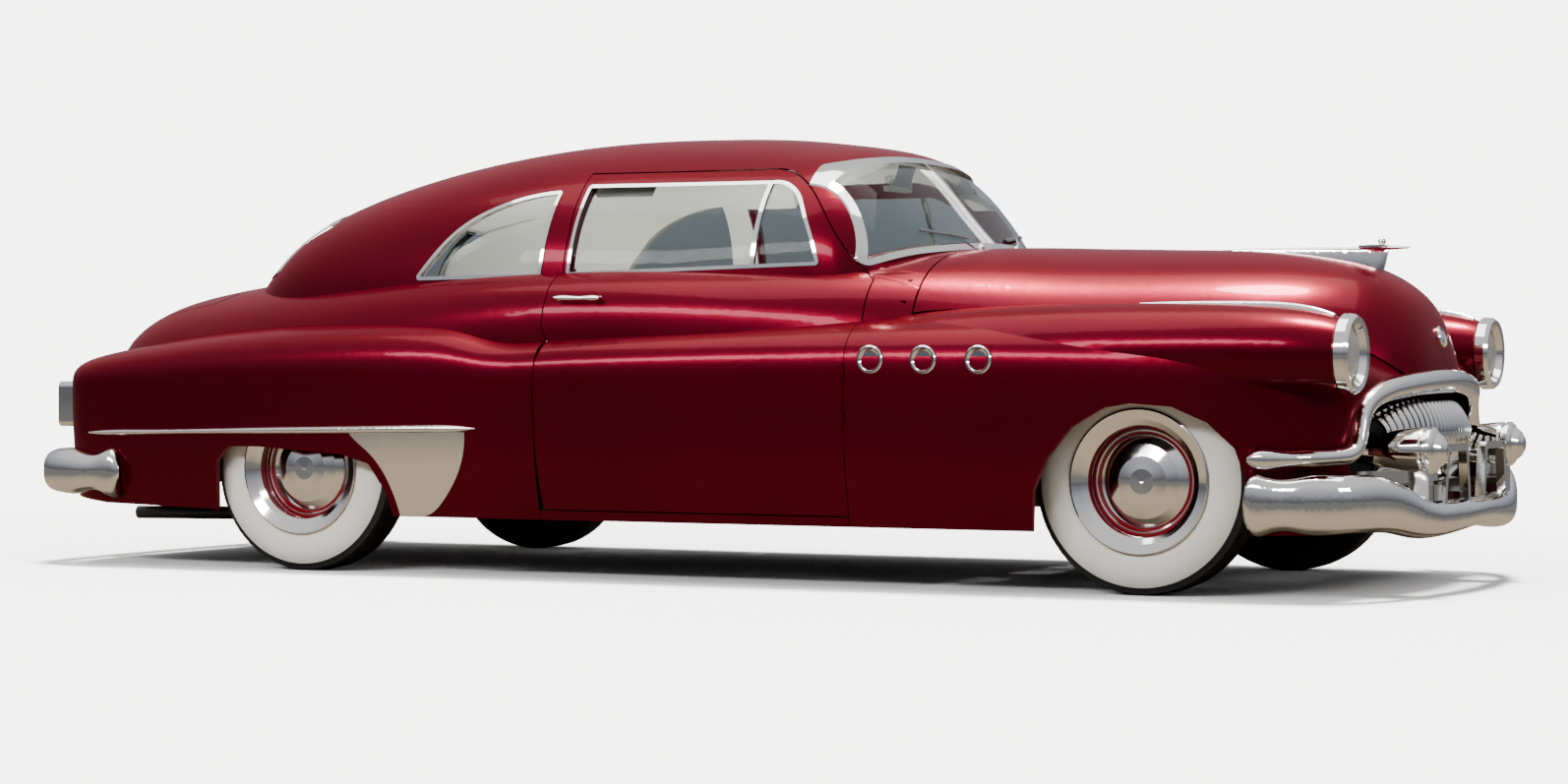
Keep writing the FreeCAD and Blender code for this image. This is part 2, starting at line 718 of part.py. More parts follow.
def front_fender(v):
    """The right front fender with its headlight pod, wheel opening and half of the grille's mouth."""
    arch = [(1372, 100), (1396, 330), (1445, 430), (1530, 530), (1640, 592), (1724, 606), (1860, 596),
            (1970, 548), (2050, 470), (2078, 380), (2085, 100)]
    arch = side_prism(arch, -1100, -560, 18)
    half = [(640, 100), (650, 484), (612, 600), (450, 655), (250, 690), (0, 706)]
    mouth = front_prism([(-y, z) for y, z in half] + list(reversed(half[:-1])), 2050, 2700)
    behind = box(-3000, DOOR_FRONT_X + PANEL_GAP / 2, -1200, 1200, 0, 2000)
    wings = v.pontoon.fuse(v.pods)
    wings = cut(wings, v.pontoon_in, v.centre_in, *v.pods_in, mouth, arch, behind)
    wing = largest(wings.common(box(0, 3000, -1200, -1, 0, 2000)))
    pin_room = rod_x(HOOD_PIN_ROOM, COWL_X, COWL_X + 40, -HOOD_PIN_Y, HOOD_PIN_Z)
    _, _, _, moving_room = door_hinges()
    return largest(cut(wing, pin_room, *moving_room).fuse(fixed_barrels()))


def tail_skin(v):
    """The pontoon's skin behind the doors, with the rear wheel openings and a rising lower edge."""
    arch = [(-966, 150), (-1000, 290), (-1055, 380), (-1166, 411), (-1500, 434), (-1637, 434),
            (-1690, 380), (-1716, 150)]
    arch = side_prism(arch, -1100, -560, 20)
    edge = [(-1716, 100), (-1716, 211), (-2200, 224), (-2380, 246), (-2560, 280), (-2560, 100)]
    edge = side_prism(edge, -1100, 1100)
    ahead = box(DOOR_REAR_X - 2.5, 3000, -1200, 1200, 0, 2000)
    return cut(v.pontoon, v.pontoon_in, v.centre_in, edge, arch, mirrored(arch), ahead)


TAIL_PANEL_X = -2300.0
TAIL_PANEL_HALF = 520.0


def rear_fender(v, tail):
    """The right rear fender; the panel between the two fenders belongs to the body."""
    middle = box(-3000, TAIL_PANEL_X, -TAIL_PANEL_HALF, TAIL_PANEL_HALF, 0, 2000)
    side = tail.common(box(-3000, 0, -1200, -1, 0, 2000))
    return largest(cut(side, middle, door_region(DOOR_HOLE)))


def tail_panel(tail):
    """The panel under the rear lid, with holes for the bumper's irons."""
    half = TAIL_PANEL_HALF - FIXED_SEAM
    panel = largest(tail.common(box(-3000, TAIL_PANEL_X - FIXED_SEAM, -half, half, 0, 2000)))
    iron_room = box(-2500, -2400, -RAIL_OUTER_Y - 2, -RAIL_INNER_Y + 2, 293, 397)
    return cut(panel, iron_room, mirrored(iron_room))


def lid_prism(grow):
    """The rear lid's outline from above."""
    front = LID_FRONT_X + (LID_GAP if grow else 0.0)
    half = [(front, 560 + grow), (-2300, 520 + grow * 1.1), (-2600 - 2 * grow, 420 + grow * 1.2)]
    points = [(x, y) for x, y in half] + [(x, -y) for x, y in reversed(half)]
    return plan_prism(points, 500, 1200, 60 + grow * 0.4)


# Seams of the welded shell: the roof's lower edge as (x, z) and the deck's half width
ROOF_SEAM = [(1200, 1272), (-1250, 1272), (-1480, 1214), (-2600, 1214)]
DECK_HALF = 520.0
DECK_REAR_X = -1960.0


def body_panels(parts, v, tail):
    """Roof, cowl with its pillars, the two quarters, and the deck with sills, posts and tail panel."""
    cabin = box(CABIN_REAR_X, 880, -DOOR_INNER_Y, DOOR_INNER_Y, 200, BELT_LEDGE_Z)
    cabin = cabin.fuse(box(CABIN_REAR_X, 880, -BELT_INNER_Y, BELT_INNER_Y, BELT_LEDGE_Z, 1020))
    upper = v.centre.common(box(-3000, COWL_X, -1200, 1200, 0, 2000)).fuse(v.greenhouse)
    load_space = v.centre_in.common(box(-3000, CABIN_REAR_X, -1200, 1200, 0, 2000))
    windows = both(side_window(QUARTER_WINDOW, -1000, -550))
    windows.append(front_window(WINDSHIELD_OPENING, 470, 1100))
    windows.append(front_window(REAR_WINDOW, -2200, -1400))
    doors = both(door_region(DOOR_HOLE))
    shell = cut(upper, cabin, v.greenhouse_in, load_space, v.pontoon_near, *v.pods)
    shell = cut(shell, lid_prism(5.0), *windows, *doors)

    skin = cut(v.centre, v.centre_in)
    tongue = skin.common(box(LID_PIN_X - 12, LID_FRONT_X + LID_GAP + 5, -TONGUE_HALF, TONGUE_HALF, 900, 1100))
    lid_pin = rod_y(LID_PIN_RADIUS, -60, 60, LID_PIN_X, LID_PIN_Z)
    hood_pin = rod_x(HOOD_PIN_RADIUS, COWL_X - 15, COWL_X + 30, HOOD_PIN_Y, HOOD_PIN_Z)
    shell = shell.fuse([tongue, lid_pin, hood_pin])
    above = side_prism(ROOF_SEAM + [(-2600, 1700), (1200, 1700)], -1200, 1200)
    lower = shell.cut(above)
    deck_room = box(DECK_REAR_X, CABIN_REAR_X, -DECK_HALF, DECK_HALF, 0, 1300)
    deck = largest(lower.common(deck_room))
    right_side = box(-3000, 0, -1200, 0, 0, 2000)
    quarter = largest(lower.common(right_side).cut(deck_room))
    parts["roof_panel"] = largest(shell.common(above))
    parts["cowl_panel"] = largest(lower.common(box(0, 1200, -1200, 1200, 0, 2000)))
    parts["quarter_panels"] = Part.makeCompound(both(quarter))

    sill = v.pontoon.common(box(DOOR_REAR_X, DOOR_FRONT_X, -1200, -DOOR_INNER_Y, 0, DOOR_BOTTOM_Z - 5))
    front_post = box(DOOR_FRONT_X + 5, 840, -900, -DOOR_INNER_Y, 240, 880)
    rear_post = box(CABIN_REAR_X, -470, -DOOR_INNER_Y - 14, -DOOR_INNER_Y, 240, 860)
    posts = front_post.fuse(rear_post).common(PONTOON.solid(-SKIN - 1.0))
    parts["body_shell"] = Part.makeCompound([deck] + both_list(sill) + both_list(posts) + [tail_panel(tail)])


def trunk_lid(v):
    """The rear lid, notched for the body's tongue and bored for its pin."""
    skin = cut(v.centre, v.centre_in, v.pontoon_grown).common(lid_prism(0.0))
    room = TONGUE_HALF + TONGUE_ROOM
    notch = box(-1960, -1900, -room, room, 900, 1100)
    return largest(cut(skin, notch, rod_y(LID_PIN_RADIUS + RUNNING_FIT, -61, 61, LID_PIN_X, LID_PIN_Z)))


def door_panel(v):
    """The right door: a thick lower part, a window frame as thick as the pillars, and its hinge barrels."""
    lower = box(-600, 900, -1200, -DOOR_INNER_Y, 0, BELT_LEDGE_Z)
    thickness = lower.fuse(box(-600, 900, -1200, -BELT_INNER_Y, BELT_LEDGE_Z, 2000))
    panel = v.pontoon.fuse(v.centre).common(thickness)
    frame = cut(v.greenhouse, v.greenhouse_in).common(box(-600, 900, -1200, 0, 1000, 2000))
    door = panel.fuse(frame).common(door_region(0.0)).cut(side_window(DOOR_WINDOW, -1000, -550))
    holes, sleeves, fixed_room, _ = door_hinges()
    return largest(cut(cut(door, *fixed_room).fuse(sleeves), *holes))


def fixed_barrels():
    """Hinge barrels on the fender's rear edge, with the pins that the door's barrels turn on."""
    half = BARREL_LENGTH / 2
    pieces = []
    for z in HINGE_Z:
        pieces.append(rod_z(BARREL_RADIUS, z - half - 14, z - half - TOUCH, DOOR_FRONT_X, -HINGE_Y))
        pieces.append(rod_z(BARREL_RADIUS, z + half + TOUCH, z + half + 14, DOOR_FRONT_X, -HINGE_Y))
        pieces.append(rod_z(HINGE_PIN_RADIUS, z - half - 10, z + half + 10, DOOR_FRONT_X, -HINGE_Y))
    return pieces


def door_hinges():
    """Pin holes, moving barrels and the room that each half needs in the other."""
    half = BARREL_LENGTH / 2
    reach = BARREL_RADIUS + 3
    holes, sleeves, fixed_room, moving_room = [], [], [], []
    hole_radius = HINGE_PIN_RADIUS + RUNNING_FIT
    for z in HINGE_Z:
        holes.append(rod_z(hole_radius, z - half - 1, z + half + 1, DOOR_FRONT_X, -HINGE_Y))
        sleeves.append(rod_z(BARREL_RADIUS, z - half, z + half, DOOR_FRONT_X, -HINGE_Y))
        fixed_room.append(rod_z(reach, z - half - 16, z - half, DOOR_FRONT_X, -HINGE_Y))
        fixed_room.append(rod_z(reach, z + half, z + half + 16, DOOR_FRONT_X, -HINGE_Y))
        moving_room.append(rod_z(reach, z - half - TOUCH, z + half + TOUCH, DOOR_FRONT_X, -HINGE_Y))
    return holes, sleeves, fixed_room, moving_room


# Glass
def glass_pane(v, opening):
    """A curved sheet a little inside the body's surface, a hair smaller than its opening."""
    return largest(v.glass_outside.common(opening).cut(v.glass_inside))


def fixed_glass(v):
    """Windshield, rear window and the two quarter windows."""
    windshield = glass_pane(v, front_window(WINDSHIELD_OPENING, 470, 1100, -GLASS_MARGIN))
    rear = glass_pane(v, front_window(REAR_WINDOW, -2200, -1400, -GLASS_MARGIN))
    quarter = glass_pane(v, side_window(QUARTER_WINDOW, -1000, -500, -GLASS_MARGIN))
    return Part.makeCompound([windshield, rear] + both(quarter))


def frame_around(v, outside, inside):
    """The bright strip around a window: a proud layer between two outlines, down to the belt."""
    return largest(cut(v.greenhouse_proud.common(outside), v.greenhouse, inside, v.centre))


def post_over_glass(v, opening, strip):
    """A bright post across an opening, from just outside the glass to the frames' face."""
    outside = GREENHOUSE.solid(-GLASS_DEPTH + TOUCH)
    return largest(v.greenhouse_proud.common(opening).common(strip).cut(outside))


def window_frames(v):
    """Bright frames of the windshield, with its centre post, of the rear window and of the quarters."""
    windshield = frame_around(v, front_window(WINDSHIELD_OPENING, 470, 1100, WINDSHIELD_FRAME_WIDTH),
                              front_window(WINDSHIELD_OPENING, 460, 1110))
    strip = box(400, 1100, -9, 9, 1000, 1500)
    centre_post = post_over_glass(v, front_window(WINDSHIELD_OPENING, 480, 1090), strip)
    rear = frame_around(v, front_window(REAR_WINDOW, -2200, -1400, REAR_FRAME_WIDTH),
                        front_window(REAR_WINDOW, -2210, -1390))
    quarter = frame_around(v, side_window(QUARTER_WINDOW, -1000, -500, SIDE_FRAME_WIDTH),
                           side_window(QUARTER_WINDOW, -1010, -490))
    return Part.makeCompound(windshield.fuse(centre_post).Solids + [rear] + both(quarter))


def door_window_frame(v):
    """The door window's bright frame with the post of its vent pane."""
    frame = frame_around(v, side_window(DOOR_WINDOW, -1000, -500, SIDE_FRAME_WIDTH),
                         side_window(DOOR_WINDOW, -1010, -490))
    strip = side_prism([(305, 1000), (321, 1000), (336, 1400), (320, 1400)], -1000, -500)
    return frame.fuse(post_over_glass(v, side_window(DOOR_WINDOW, -1000, -500), strip))


# Running gear
def frame_chassis():
    """Two kicked-up rails joined by five cross members."""
    under = RAIL_UNDERSIDE_Z
    rail = [(RAIL_REAR_X, 430), (-1750, 430), (-1600, 470), (-1180, 470), (-960, under), (1100, under),
            (1350, 290), (RAIL_FRONT_X, 290), (RAIL_FRONT_X, 366), (1330, 366), (1060, RAIL_TOP_Z),
            (-935, RAIL_TOP_Z), (-1140, 560), (-1640, 560), (-1790, 520), (RAIL_REAR_X, 520)]
    rail = side_prism(rail, -RAIL_OUTER_Y, -RAIL_INNER_Y)
    members = []
    for x0, x1, z0, z1 in ((1620, 1780, 240, 310), (500, 580, under, 303), (-880, -800, under, 303),
                           (-2370, -2300, 440, 510), (2150, 2230, 295, 360)):
        members.append(box(x0, x1, -RAIL_INNER_Y - 20, RAIL_INNER_Y + 20, z0, z1))
    return largest(rail.fuse([mirrored(rail)] + members))


def suspension():
    """Front arms with their coil springs and towers, and the rear coil springs."""
    x = FRONT_AXLE_X
    inner = -RAIL_OUTER_Y - 1
    tip = -KINGPIN_Y - 19
    pin_room = rod_z(12, 200, 500, x, -KINGPIN_Y)
    lower = [(x - 140, inner), (x + 140, inner), (x + 30, -630), (x + 25, tip), (x - 25, tip), (x - 30, -630)]
    upper = [(x - 80, inner), (x + 80, inner), (x + 25, -620), (x + 25, tip), (x - 25, tip), (x - 25, -620)]
    lower = plan_prism(lower, 235, 260).cut(pin_room).fuse(rod_z(55, 260, 400, x, -520))
    tower = box(x - 100, x + 100, inner, -RAIL_INNER_Y, 366.3, 500)
    upper = plan_prism(upper, 470, 490).cut(pin_room).fuse(tower)
    tube_radius = 42.0
    rear = rod_z(52, WHEEL_Z + tube_radius - 0.1, 469.7, REAR_AXLE_X, -395)
    rear = rear.cut(rod_y(tube_radius, -700, 700, REAR_AXLE_X, WHEEL_Z))
    return Part.makeCompound(both(lower) + both(upper) + both(rear))


def knuckle():
    """Kingpin, upright and wheel spindle of the right front wheel."""
    x = FRONT_AXLE_X
    pin = rod_z(11.95, 240, 489, x, -KINGPIN_Y)
    upright = box(x - 22, x + 22, -KINGPIN_Y - 22, -KINGPIN_Y + 22, 260.5, 469.5)
    spindle = rod_y(SPINDLE_RADIUS, -FRONT_WHEEL_Y - 25, -KINGPIN_Y, x, WHEEL_Z)
    return pin.fuse([upright, spindle])


def rear_axle():
    """Axle tube with the spindles, the round differential case and the torque tube."""
    return rod_y(42, -700, 700, REAR_AXLE_X, WHEEL_Z).fuse([
        rod_y(SPINDLE_RADIUS, -REAR_WHEEL_Y - 25, REAR_WHEEL_Y + 25, REAR_AXLE_X, WHEEL_Z),
        Part.makeSphere(135, Vector(REAR_AXLE_X, 0, WHEEL_Z)),
        rod_x(48, REAR_AXLE_X, 640, 0, WHEEL_Z),
    ])


def engine_block():
    """Block, sump and gearbox as one plain casting."""
    return largest(box(1000, 1560, -150, 150, 300, 820).fuse([
        box(1560, 2000, -150, 150, 420, 820),
        box(640 + TOUCH, 1000, -110, 110, 290, 470),
    ]))


def exhaust():
    """One long pipe that hangs under the cross members and rises over the rear axle."""
    radius = 24
    low = RAIL_UNDERSIDE_Z - TOUCH - radius
    line = [(1050, -200, low), (300, -252, low), (-960, -252, low), (-1225, -285, 475), (-1560, -296, 475),
            (-1880, -300, 168), (-2500, -300, 160)]
    return tube([Vector(*place) for place in line], radius, 120)


# Cabin
def floor_pan():
    """Floor with its tunnel, toe board, firewall, rear bulkhead and load floor."""
    side = DOOR_INNER_Y - TOUCH
    floor = box(CABIN_REAR_X, 620, -side, side, 350.3, 362)
    toe = [(619, 350.3), (619, 362), (862, 470), (862, 928), (874, 928), (874, 464), (628, 350.3)]
    toe = side_prism(toe, -725, 725)
    firewall = box(862, 874, -BELT_INNER_Y + TOUCH, BELT_INNER_Y - TOUCH, 927, 1000)
    bulkhead = [(-893, 364), (-893, 600), (-2290, 600), (-2290, 588), (CABIN_REAR_X, 588),
                (CABIN_REAR_X, 364)]
    bulkhead = side_prism(bulkhead, -560, 560)
    wall = box(CABIN_REAR_X, 620, -side, -735, 205, 352)
    tunnel = box(CABIN_REAR_X, 640, -80, 80, 362, 428)
    gearbox_cover = box(600, 873, -135, 135, 353, 500)
    floor = floor.fuse([toe, firewall, bulkhead, wall, mirrored(wall), tunnel, gearbox_cover])
    hollows = [box(CABIN_REAR_X + 13, 640, -70, 70, 300, 418), box(-930, -880, -70, 70, 300, 418),
               box(590, 900, -125, 125, 300, 490)]
    return largest(cut(floor, *hollows))


def dashboard():
    return side_prism([(861.7, 760), (780, 780), (740, 860), (770, 960), (861.7, 990)], -695, 695)


def steering_wheel(board):
    """Rim, spokes and column, ending at the firewall."""
    seat_y, foot_z, length = 380.0, 560.0, 640.0
    slope = Vector(-0.86, 0, 0.51)
    foot = Vector(861, seat_y, foot_z)
    hub = foot + slope * length
    ring = Part.makeTorus(205, 12, hub, slope)
    spoke = Part.makeCylinder(10, 410, hub - Vector(0, 205, 0), Vector(0, 1, 0))
    column = Part.makeCylinder(20, length + 20, foot - slope * 20, slope)
    horn = Part.makeCone(44, 34, 22, hub - slope * 6, slope)
    wheel_and_column = ring.fuse([spoke, column, horn])
    return largest(cut(wheel_and_column, board, box(861.7, 1000, -500, 500, 0, 2000)))


def seat(cushion, cushion_half, back, back_half):
    """A bench seat as two joined closed solids, clear of the floor's tunnel."""
    over_tunnel = box(-2000, 2000, -80.3, 80.3, 300, 428.3)
    bench = side_prism(cushion, -cushion_half, cushion_half)
    return bench.fuse(side_prism(back, -back_half, back_half)).cut(over_tunnel)


def seats(parts):
    floor = 362.3
    parts["front_seat"] = seat([(-60, floor), (440, floor), (440, 560), (-20, 540)], 650,
                               [(-60, floor), (-20, 540), (-170, 960), (-240, 960), (-140, floor)], 650)
    parts["rear_seat"] = seat([(-885, floor), (-420, floor), (-420, 560), (-850, 540)], 600,
                              [(-885, floor), (-850, 540), (-1080, 930), (-1160, 930), (-892.6, 600.3)], 555)


# Bright work
def bumper_bar(half_line, samples):
    """A wrapped bar from (x, y, lower edge, upper edge, depth) places on its right half."""
    line = half_line + [(x, -y, low, high, depth) for x, y, low, high, depth in reversed(half_line[:-1])]
    ahead = 1.0 if half_line[-1][0] > 0 else -1.0
    places = []
    for k, (x, y, low, high, depth) in enumerate(line):
        before, after = line[max(k - 1, 0)], line[min(k + 1, len(line) - 1)]
        outward = Vector(after[1] - before[1], before[0] - after[0], 0).normalize() * ahead
        places.append((Vector(x, y, (low + high) / 2.0), outward, high - low, depth))
    return ribbon(places, samples, 2.7)


def bullet(grow=0.0):
    """The right guard's long bullet; grown, it is the room that the grille leaves for it."""
    places = [
        (2300, 0), (2300, 44), (2350, 54), (2440, 66), (2512, 73), (2520, 72), (2524, 66), (2530, 66),
        (2534, 74), (2546, 74), (2554, 66), (2560, 56), (2578, 42), (2590, 22), (2594, 0),
    ]
    places = [(x, radius + grow if radius else 0.0) for x, radius in places]
    places[0] = places[1] = (places[0][0] - grow, 0.0)
    places[1] = (places[0][0], 44 + grow)
    return lathe_x(places, -BULLET_Y, BULLET_Z)


def front_bumper():
    """Wrapped bar with a dropped middle, two long bullets, two open guard hoops and its irons."""
    bar = bumper_bar([
        (2090, -938, 262, 334, 22), (2100, -948, 228, 366, 36), (2165, -950, 212, 386, 46),
        (2290, -930, 210, 389, 52), (2400, -868, 212, 389, 56), (2472, -755, 212, 388, 62),
        (2514, -645, 206, 366, 66), (2540, -552, 192, 332, 70), (2560, -455, 183, 308, 74),
        (2580, -320, 186, 299, 78), (2595, -150, 198, 297, 80), (2600, 0, 206, 298, 80),
    ], 64)
    foot = box(2470, 2535, -BULLET_Y - 26, -BULLET_Y + 26, 285, BULLET_Z)
    hoop = front_prism([(-372, 270), (-68, 270), (-104, 474), (-336, 474)], 2528, 2556, 16)
    hoop = hoop.cut(front_prism([(-345, 285), (-95, 285), (-127, 450), (-313, 450)], 2500, 2600, 10)).cut(bar)
    iron = box(RAIL_FRONT_X + TOUCH, 2545, -RAIL_OUTER_Y + 5, -RAIL_INNER_Y - 5, 300, 348).cut(bar)
    iron = min(iron.Solids, key=lambda piece: piece.CenterOfMass.x)
    right = bullet().fuse([foot, hoop, iron])
    return largest(bar.fuse([right, mirrored(right)]))


def rear_bumper(v):
    """Wrapped bar on two irons that rise to the frame rails."""
    bar = bumper_bar([
        (-2098, -962, 300, 372, 28), (-2108, -974, 268, 404, 52), (-2180, -978, 257, 413, 66),
        (-2320, -970, 255, 414, 74), (-2440, -925, 255, 414, 80), (-2522, -842, 255, 414, 82),
        (-2566, -700, 255, 413, 82), (-2592, -380, 255, 412, 82), (-2600, 0, 255, 412, 82),
    ], 48)
    bar = largest(bar.cut(v.pontoon_grown))
    inner, outer = -RAIL_INNER_Y - 5, -RAIL_OUTER_Y + 5
    iron = box(-2560, RAIL_REAR_X - TOUCH, outer, inner, 305, 385)
    iron = iron.fuse(box(-2400, RAIL_REAR_X - TOUCH, outer, inner, 305, 515)).cut(bar)
    iron = max(iron.Solids, key=lambda piece: piece.CenterOfMass.x)
    return largest(bar.fuse([iron, mirrored(iron)]))


def grille_front_x(y):
    """Plan curve that the grille's teeth follow."""
    return 2478.0 - 300.0 * (abs(y) / 1000.0) ** 2.1


def tooth(y):
    """One bowed twelve sided bar between the lower and the upper rail."""
    crown = 622.0 - 60.0 * (abs(y) / 460.0) ** 3
    back = grille_front_x(y) - 52.0
    foot = Vector(back - 10, y, 404)
    bow = Part.Arc(foot, Vector(back + 30, y, 510), Vector(back - 24, y, crown)).toShape()
    forwards = bow.tangentAt(bow.FirstParameter).cross(Vector(0, 1, 0))
    corners = []
    for k in range(TOOTH_SIDES + 1):
        turn = 2.0 * math.pi * (k + 0.5) / TOOTH_SIDES
        aside = Vector(0, TOOTH_RADIUS * math.sin(turn), 0)
        corners.append(foot + forwards * (TOOTH_RADIUS * math.cos(turn)) + aside)
    corners[-1] = corners[0]
    sweep = math.degrees(bow.LastParameter - bow.FirstParameter)
    return Part.Face(Part.makePolygon(corners)).revolve(bow.Curve.Center, bow.Curve.Axis, sweep)


def grille(v):
    """Arched surround with side wings, and a row of bowed teeth between two rails on a sill."""
    half = [
        (2098, -930, 436, 0.10, -1.00, 0.00, 30, 20), (2112, -936, 436, 0.10, -1.00, 0.00, 48, 26),
        (2200, -916, 437, 0.20, -1.00, 0.00, 54, 30), (2290, -842, 438, 0.45, -0.90, 0.00, 54, 34),
        (2348, -738, 442, 0.75, -0.66, 0.00, 54, 38), (2378, -672, 462, 0.85, -0.50, 0.00, 54, 40),
        (2386, -640, 520, 0.88, -0.46, 0.00, 52, 42), (2392, -606, 588, 0.90, -0.36, 0.10, 60, 44),
        (2414, -540, 634, 0.92, -0.25, 0.20, 68, 46), (2444, -400, 664, 0.92, -0.16, 0.28, 74, 46),
        (2470, -200, 680, 0.92, -0.06, 0.33, 76, 46), (2482, 0, 685, 0.92, 0.00, 0.35, 76, 46),
    ]
    places = [(Vector(x, y, z), Vector(ox, oy, oz), wide, deep) for x, y, z, ox, oy, oz, wide, deep in half]
    places += [(Vector(p.x, -p.y, p.z), Vector(o.x, -o.y, o.z), w, d) for p, o, w, d in reversed(places[:-1])]
    hood_room = cut(CENTRE.solid(PANEL_GAP), nose_opening(-PANEL_GAP))
    surround = largest(cut(ribbon(places, 44, 2.4), v.pontoon, *v.pods, hood_room))
    outer = TOOTH_COUNT // 2
    teeth = [tooth(TOOTH_PITCH * k) for k in range(-outer, outer + 1)]
    reach = TOOTH_PITCH * outer + 12
    low_line, high_line = [], []
    for k in range(-3, 4):
        y = reach * k / 3.0
        low_line.append((Vector(grille_front_x(y) - 44, y, 404), Vector(1, 0, 0), 30, 30))
        crown = 612.0 - 52.0 * (abs(y) / 460.0) ** 3
        high_line.append((Vector(grille_front_x(y) - 62, y, crown), Vector(1, 0, 0), 30, 26))
    sill = [(2260, 560), (2330, 560), (2405, 300), (2425, 0)]
    sill = plan_prism(sill + [(x, -y) for x, y in reversed(sill[:-1])], 348 + TOUCH, 392)
    core = ribbon(low_line, 8, 2.4).fuse([ribbon(high_line, 8, 2.4), sill] + teeth)
    core = largest(cut(core, *both(bullet(BULLET_ROOM))))
    return Part.makeCompound(surround.fuse(core).Solids)


def rounded_block(x0, x1, y0, y1, z0, z1, radius):
    """A block whose edges along X are rounded."""
    block = box(x0, x1, y0, y1, z0, z1)
    return block.makeFillet(radius, [e for e in block.Edges if abs(e.tangentAt(e.FirstParameter).x) > 0.9])


def lamps(parts, v):
    """Rims and housings in one set, headlamp glass and tail lamp glass in two others."""
    back = LAMP_BACK_X + TOUCH
    rim = [(back, 90), (back, 114), (2362, 124), (2392, 123), (2404, 114), (2400, 98), (2378, 90)]
    rim = lathe_x(rim, -LAMP_Y, LAMP_Z)
    lens = [(back, 0), (back, 89.7), (2374, 88), (2388, 62), (2395, 30), (2397, 0)]
    lens = lathe_x(lens, -LAMP_Y, LAMP_Z)
    block = rounded_block(-2506, -2330, -TAIL_LAMP_Y - 33, -TAIL_LAMP_Y + 33, 492, 656, 20)
    pocket = rounded_block(-2530, -2485, -TAIL_LAMP_Y - 19, -TAIL_LAMP_Y + 19, 512, 636, 14)
    glass = rounded_block(-2513, -2485, -TAIL_LAMP_Y - 18.7, -TAIL_LAMP_Y + 18.7, 512.3, 635.7, 13.7)
    housing = min(cut(block, v.pontoon).Solids, key=lambda piece: piece.CenterOfMass.x).cut(pocket)
    parts["lamp_rims"] = Part.makeCompound(both(rim) + both(housing))
    parts["headlamp_lenses"] = Part.makeCompound(both(lens))
    parts["tail_lamps"] = Part.makeCompound(both(glass))


def fender_spear(v):
    """Tapered bar along the crown of a headlight pod, running down to the lamp's rim."""
    places = []
    for x, width, proud in ((1690, 5, 1.0), (1760, 14, 4), (1900, 22, 8), (2050, 28, 12), (2180, 31, 14),
                            (2270, 33, 13), (2330, 36, 9)):
        places.append((Vector(x, -pod_y(x), pod_top(x) + proud), Vector(0.05, 0, 1), width, 22 + proud))
    return max(ribbon(places, 12, 2.4).cut(v.pods[0]).Solids, key=lambda piece: piece.CenterOfMass.z)


def porthole(v, x):
    """A bright ring with a dished middle, seated on the fender's side."""
    y = -PONTOON.side_y(x, PORTHOLE_Z)
    section = [(0, y + 10), (46, y + 10), (46, y - 3), (42, y - 7), (37, y - 7), (29, y + 2), (0, y + 2)]
    ring = lathe_y(section, x, PORTHOLE_Z)
    return min(cut(ring, v.pontoon).Solids, key=lambda piece: piece.CenterOfMass.y)


GRAVEL_SHIELD = [
    [(-668, 492), (-672, 440), (-700, 357), (-757, 273), (-835, 208), (-880, 201)],
    [(-880, 201), (-948, 201)],
    [(-948, 201), (-968, 290), (-1008, 372), (-1052, 422), (-1090, 452), (-1130, 492)],
    [(-1130, 492), (-668, 492)],
]


def side_moulding(v):
    """The rear fender's long strip, joined to the gravel shield ahead of the wheel."""
    line = []
    for x, z, width, proud in ((-628, 505, 6, 2), (-660, 504, 20, 8), (-760, 503, 33, 12),
                               (-1000, 499, 33, 13), (-1500, 490, 29, 12), (-2000, 480, 24, 10),
                               (-2200, 476, 20, 9), (-2250, 475, 10, 4)):
        surface = Vector(x, -PONTOON.side_y(x, z) - proud, z)
        line.append((surface, Vector(0, -1, 0), width, 14 + proud))
    strip = min(cut(ribbon(line, 16, 2.2), v.pontoon).Solids, key=lambda piece: piece.CenterOfMass.y)
    shield = curved_wire([[Vector(x, -1100, z) for x, z in run] for run in GRAVEL_SHIELD])
    shield = Part.Face(shield).extrude(Vector(0, 300, 0)).common(PONTOON.solid(4.0)).cut(v.pontoon)
    return largest(strip.fuse(largest(shield)))


def side_brightwork(v):
    """Portholes, fender spears, and the rear fender mouldings with their gravel shields."""
    pieces = [porthole(v, x) for x in PORTHOLE_X] + [fender_spear(v), side_moulding(v)]
    return Part.makeCompound([shape for piece in pieces for shape in both(piece)])


def door_handle(v):
    """A grip on two feet."""
    z = 944.0
    y = -CENTRE.side_y(-269, z)
    places = []
    sections = ((-356, 2, 8), (-340, 2, 15), (-290, 0, 17), (-240, 0, 16), (-196, 0, 18), (-182, 0, 12))
    for x, rise, high in sections:
        places.append((Vector(x, y - 40, z + rise), Vector(0, -1, 0), high, 12))
    grip = ribbon(places, 8, 2.4)
    feet = [rod_y(8, y - 34, y + 20, x, z) for x in (-338, -198)]
    return min(grip.fuse(feet).cut(v.centre).Solids, key=lambda piece: piece.CenterOfMass.y)


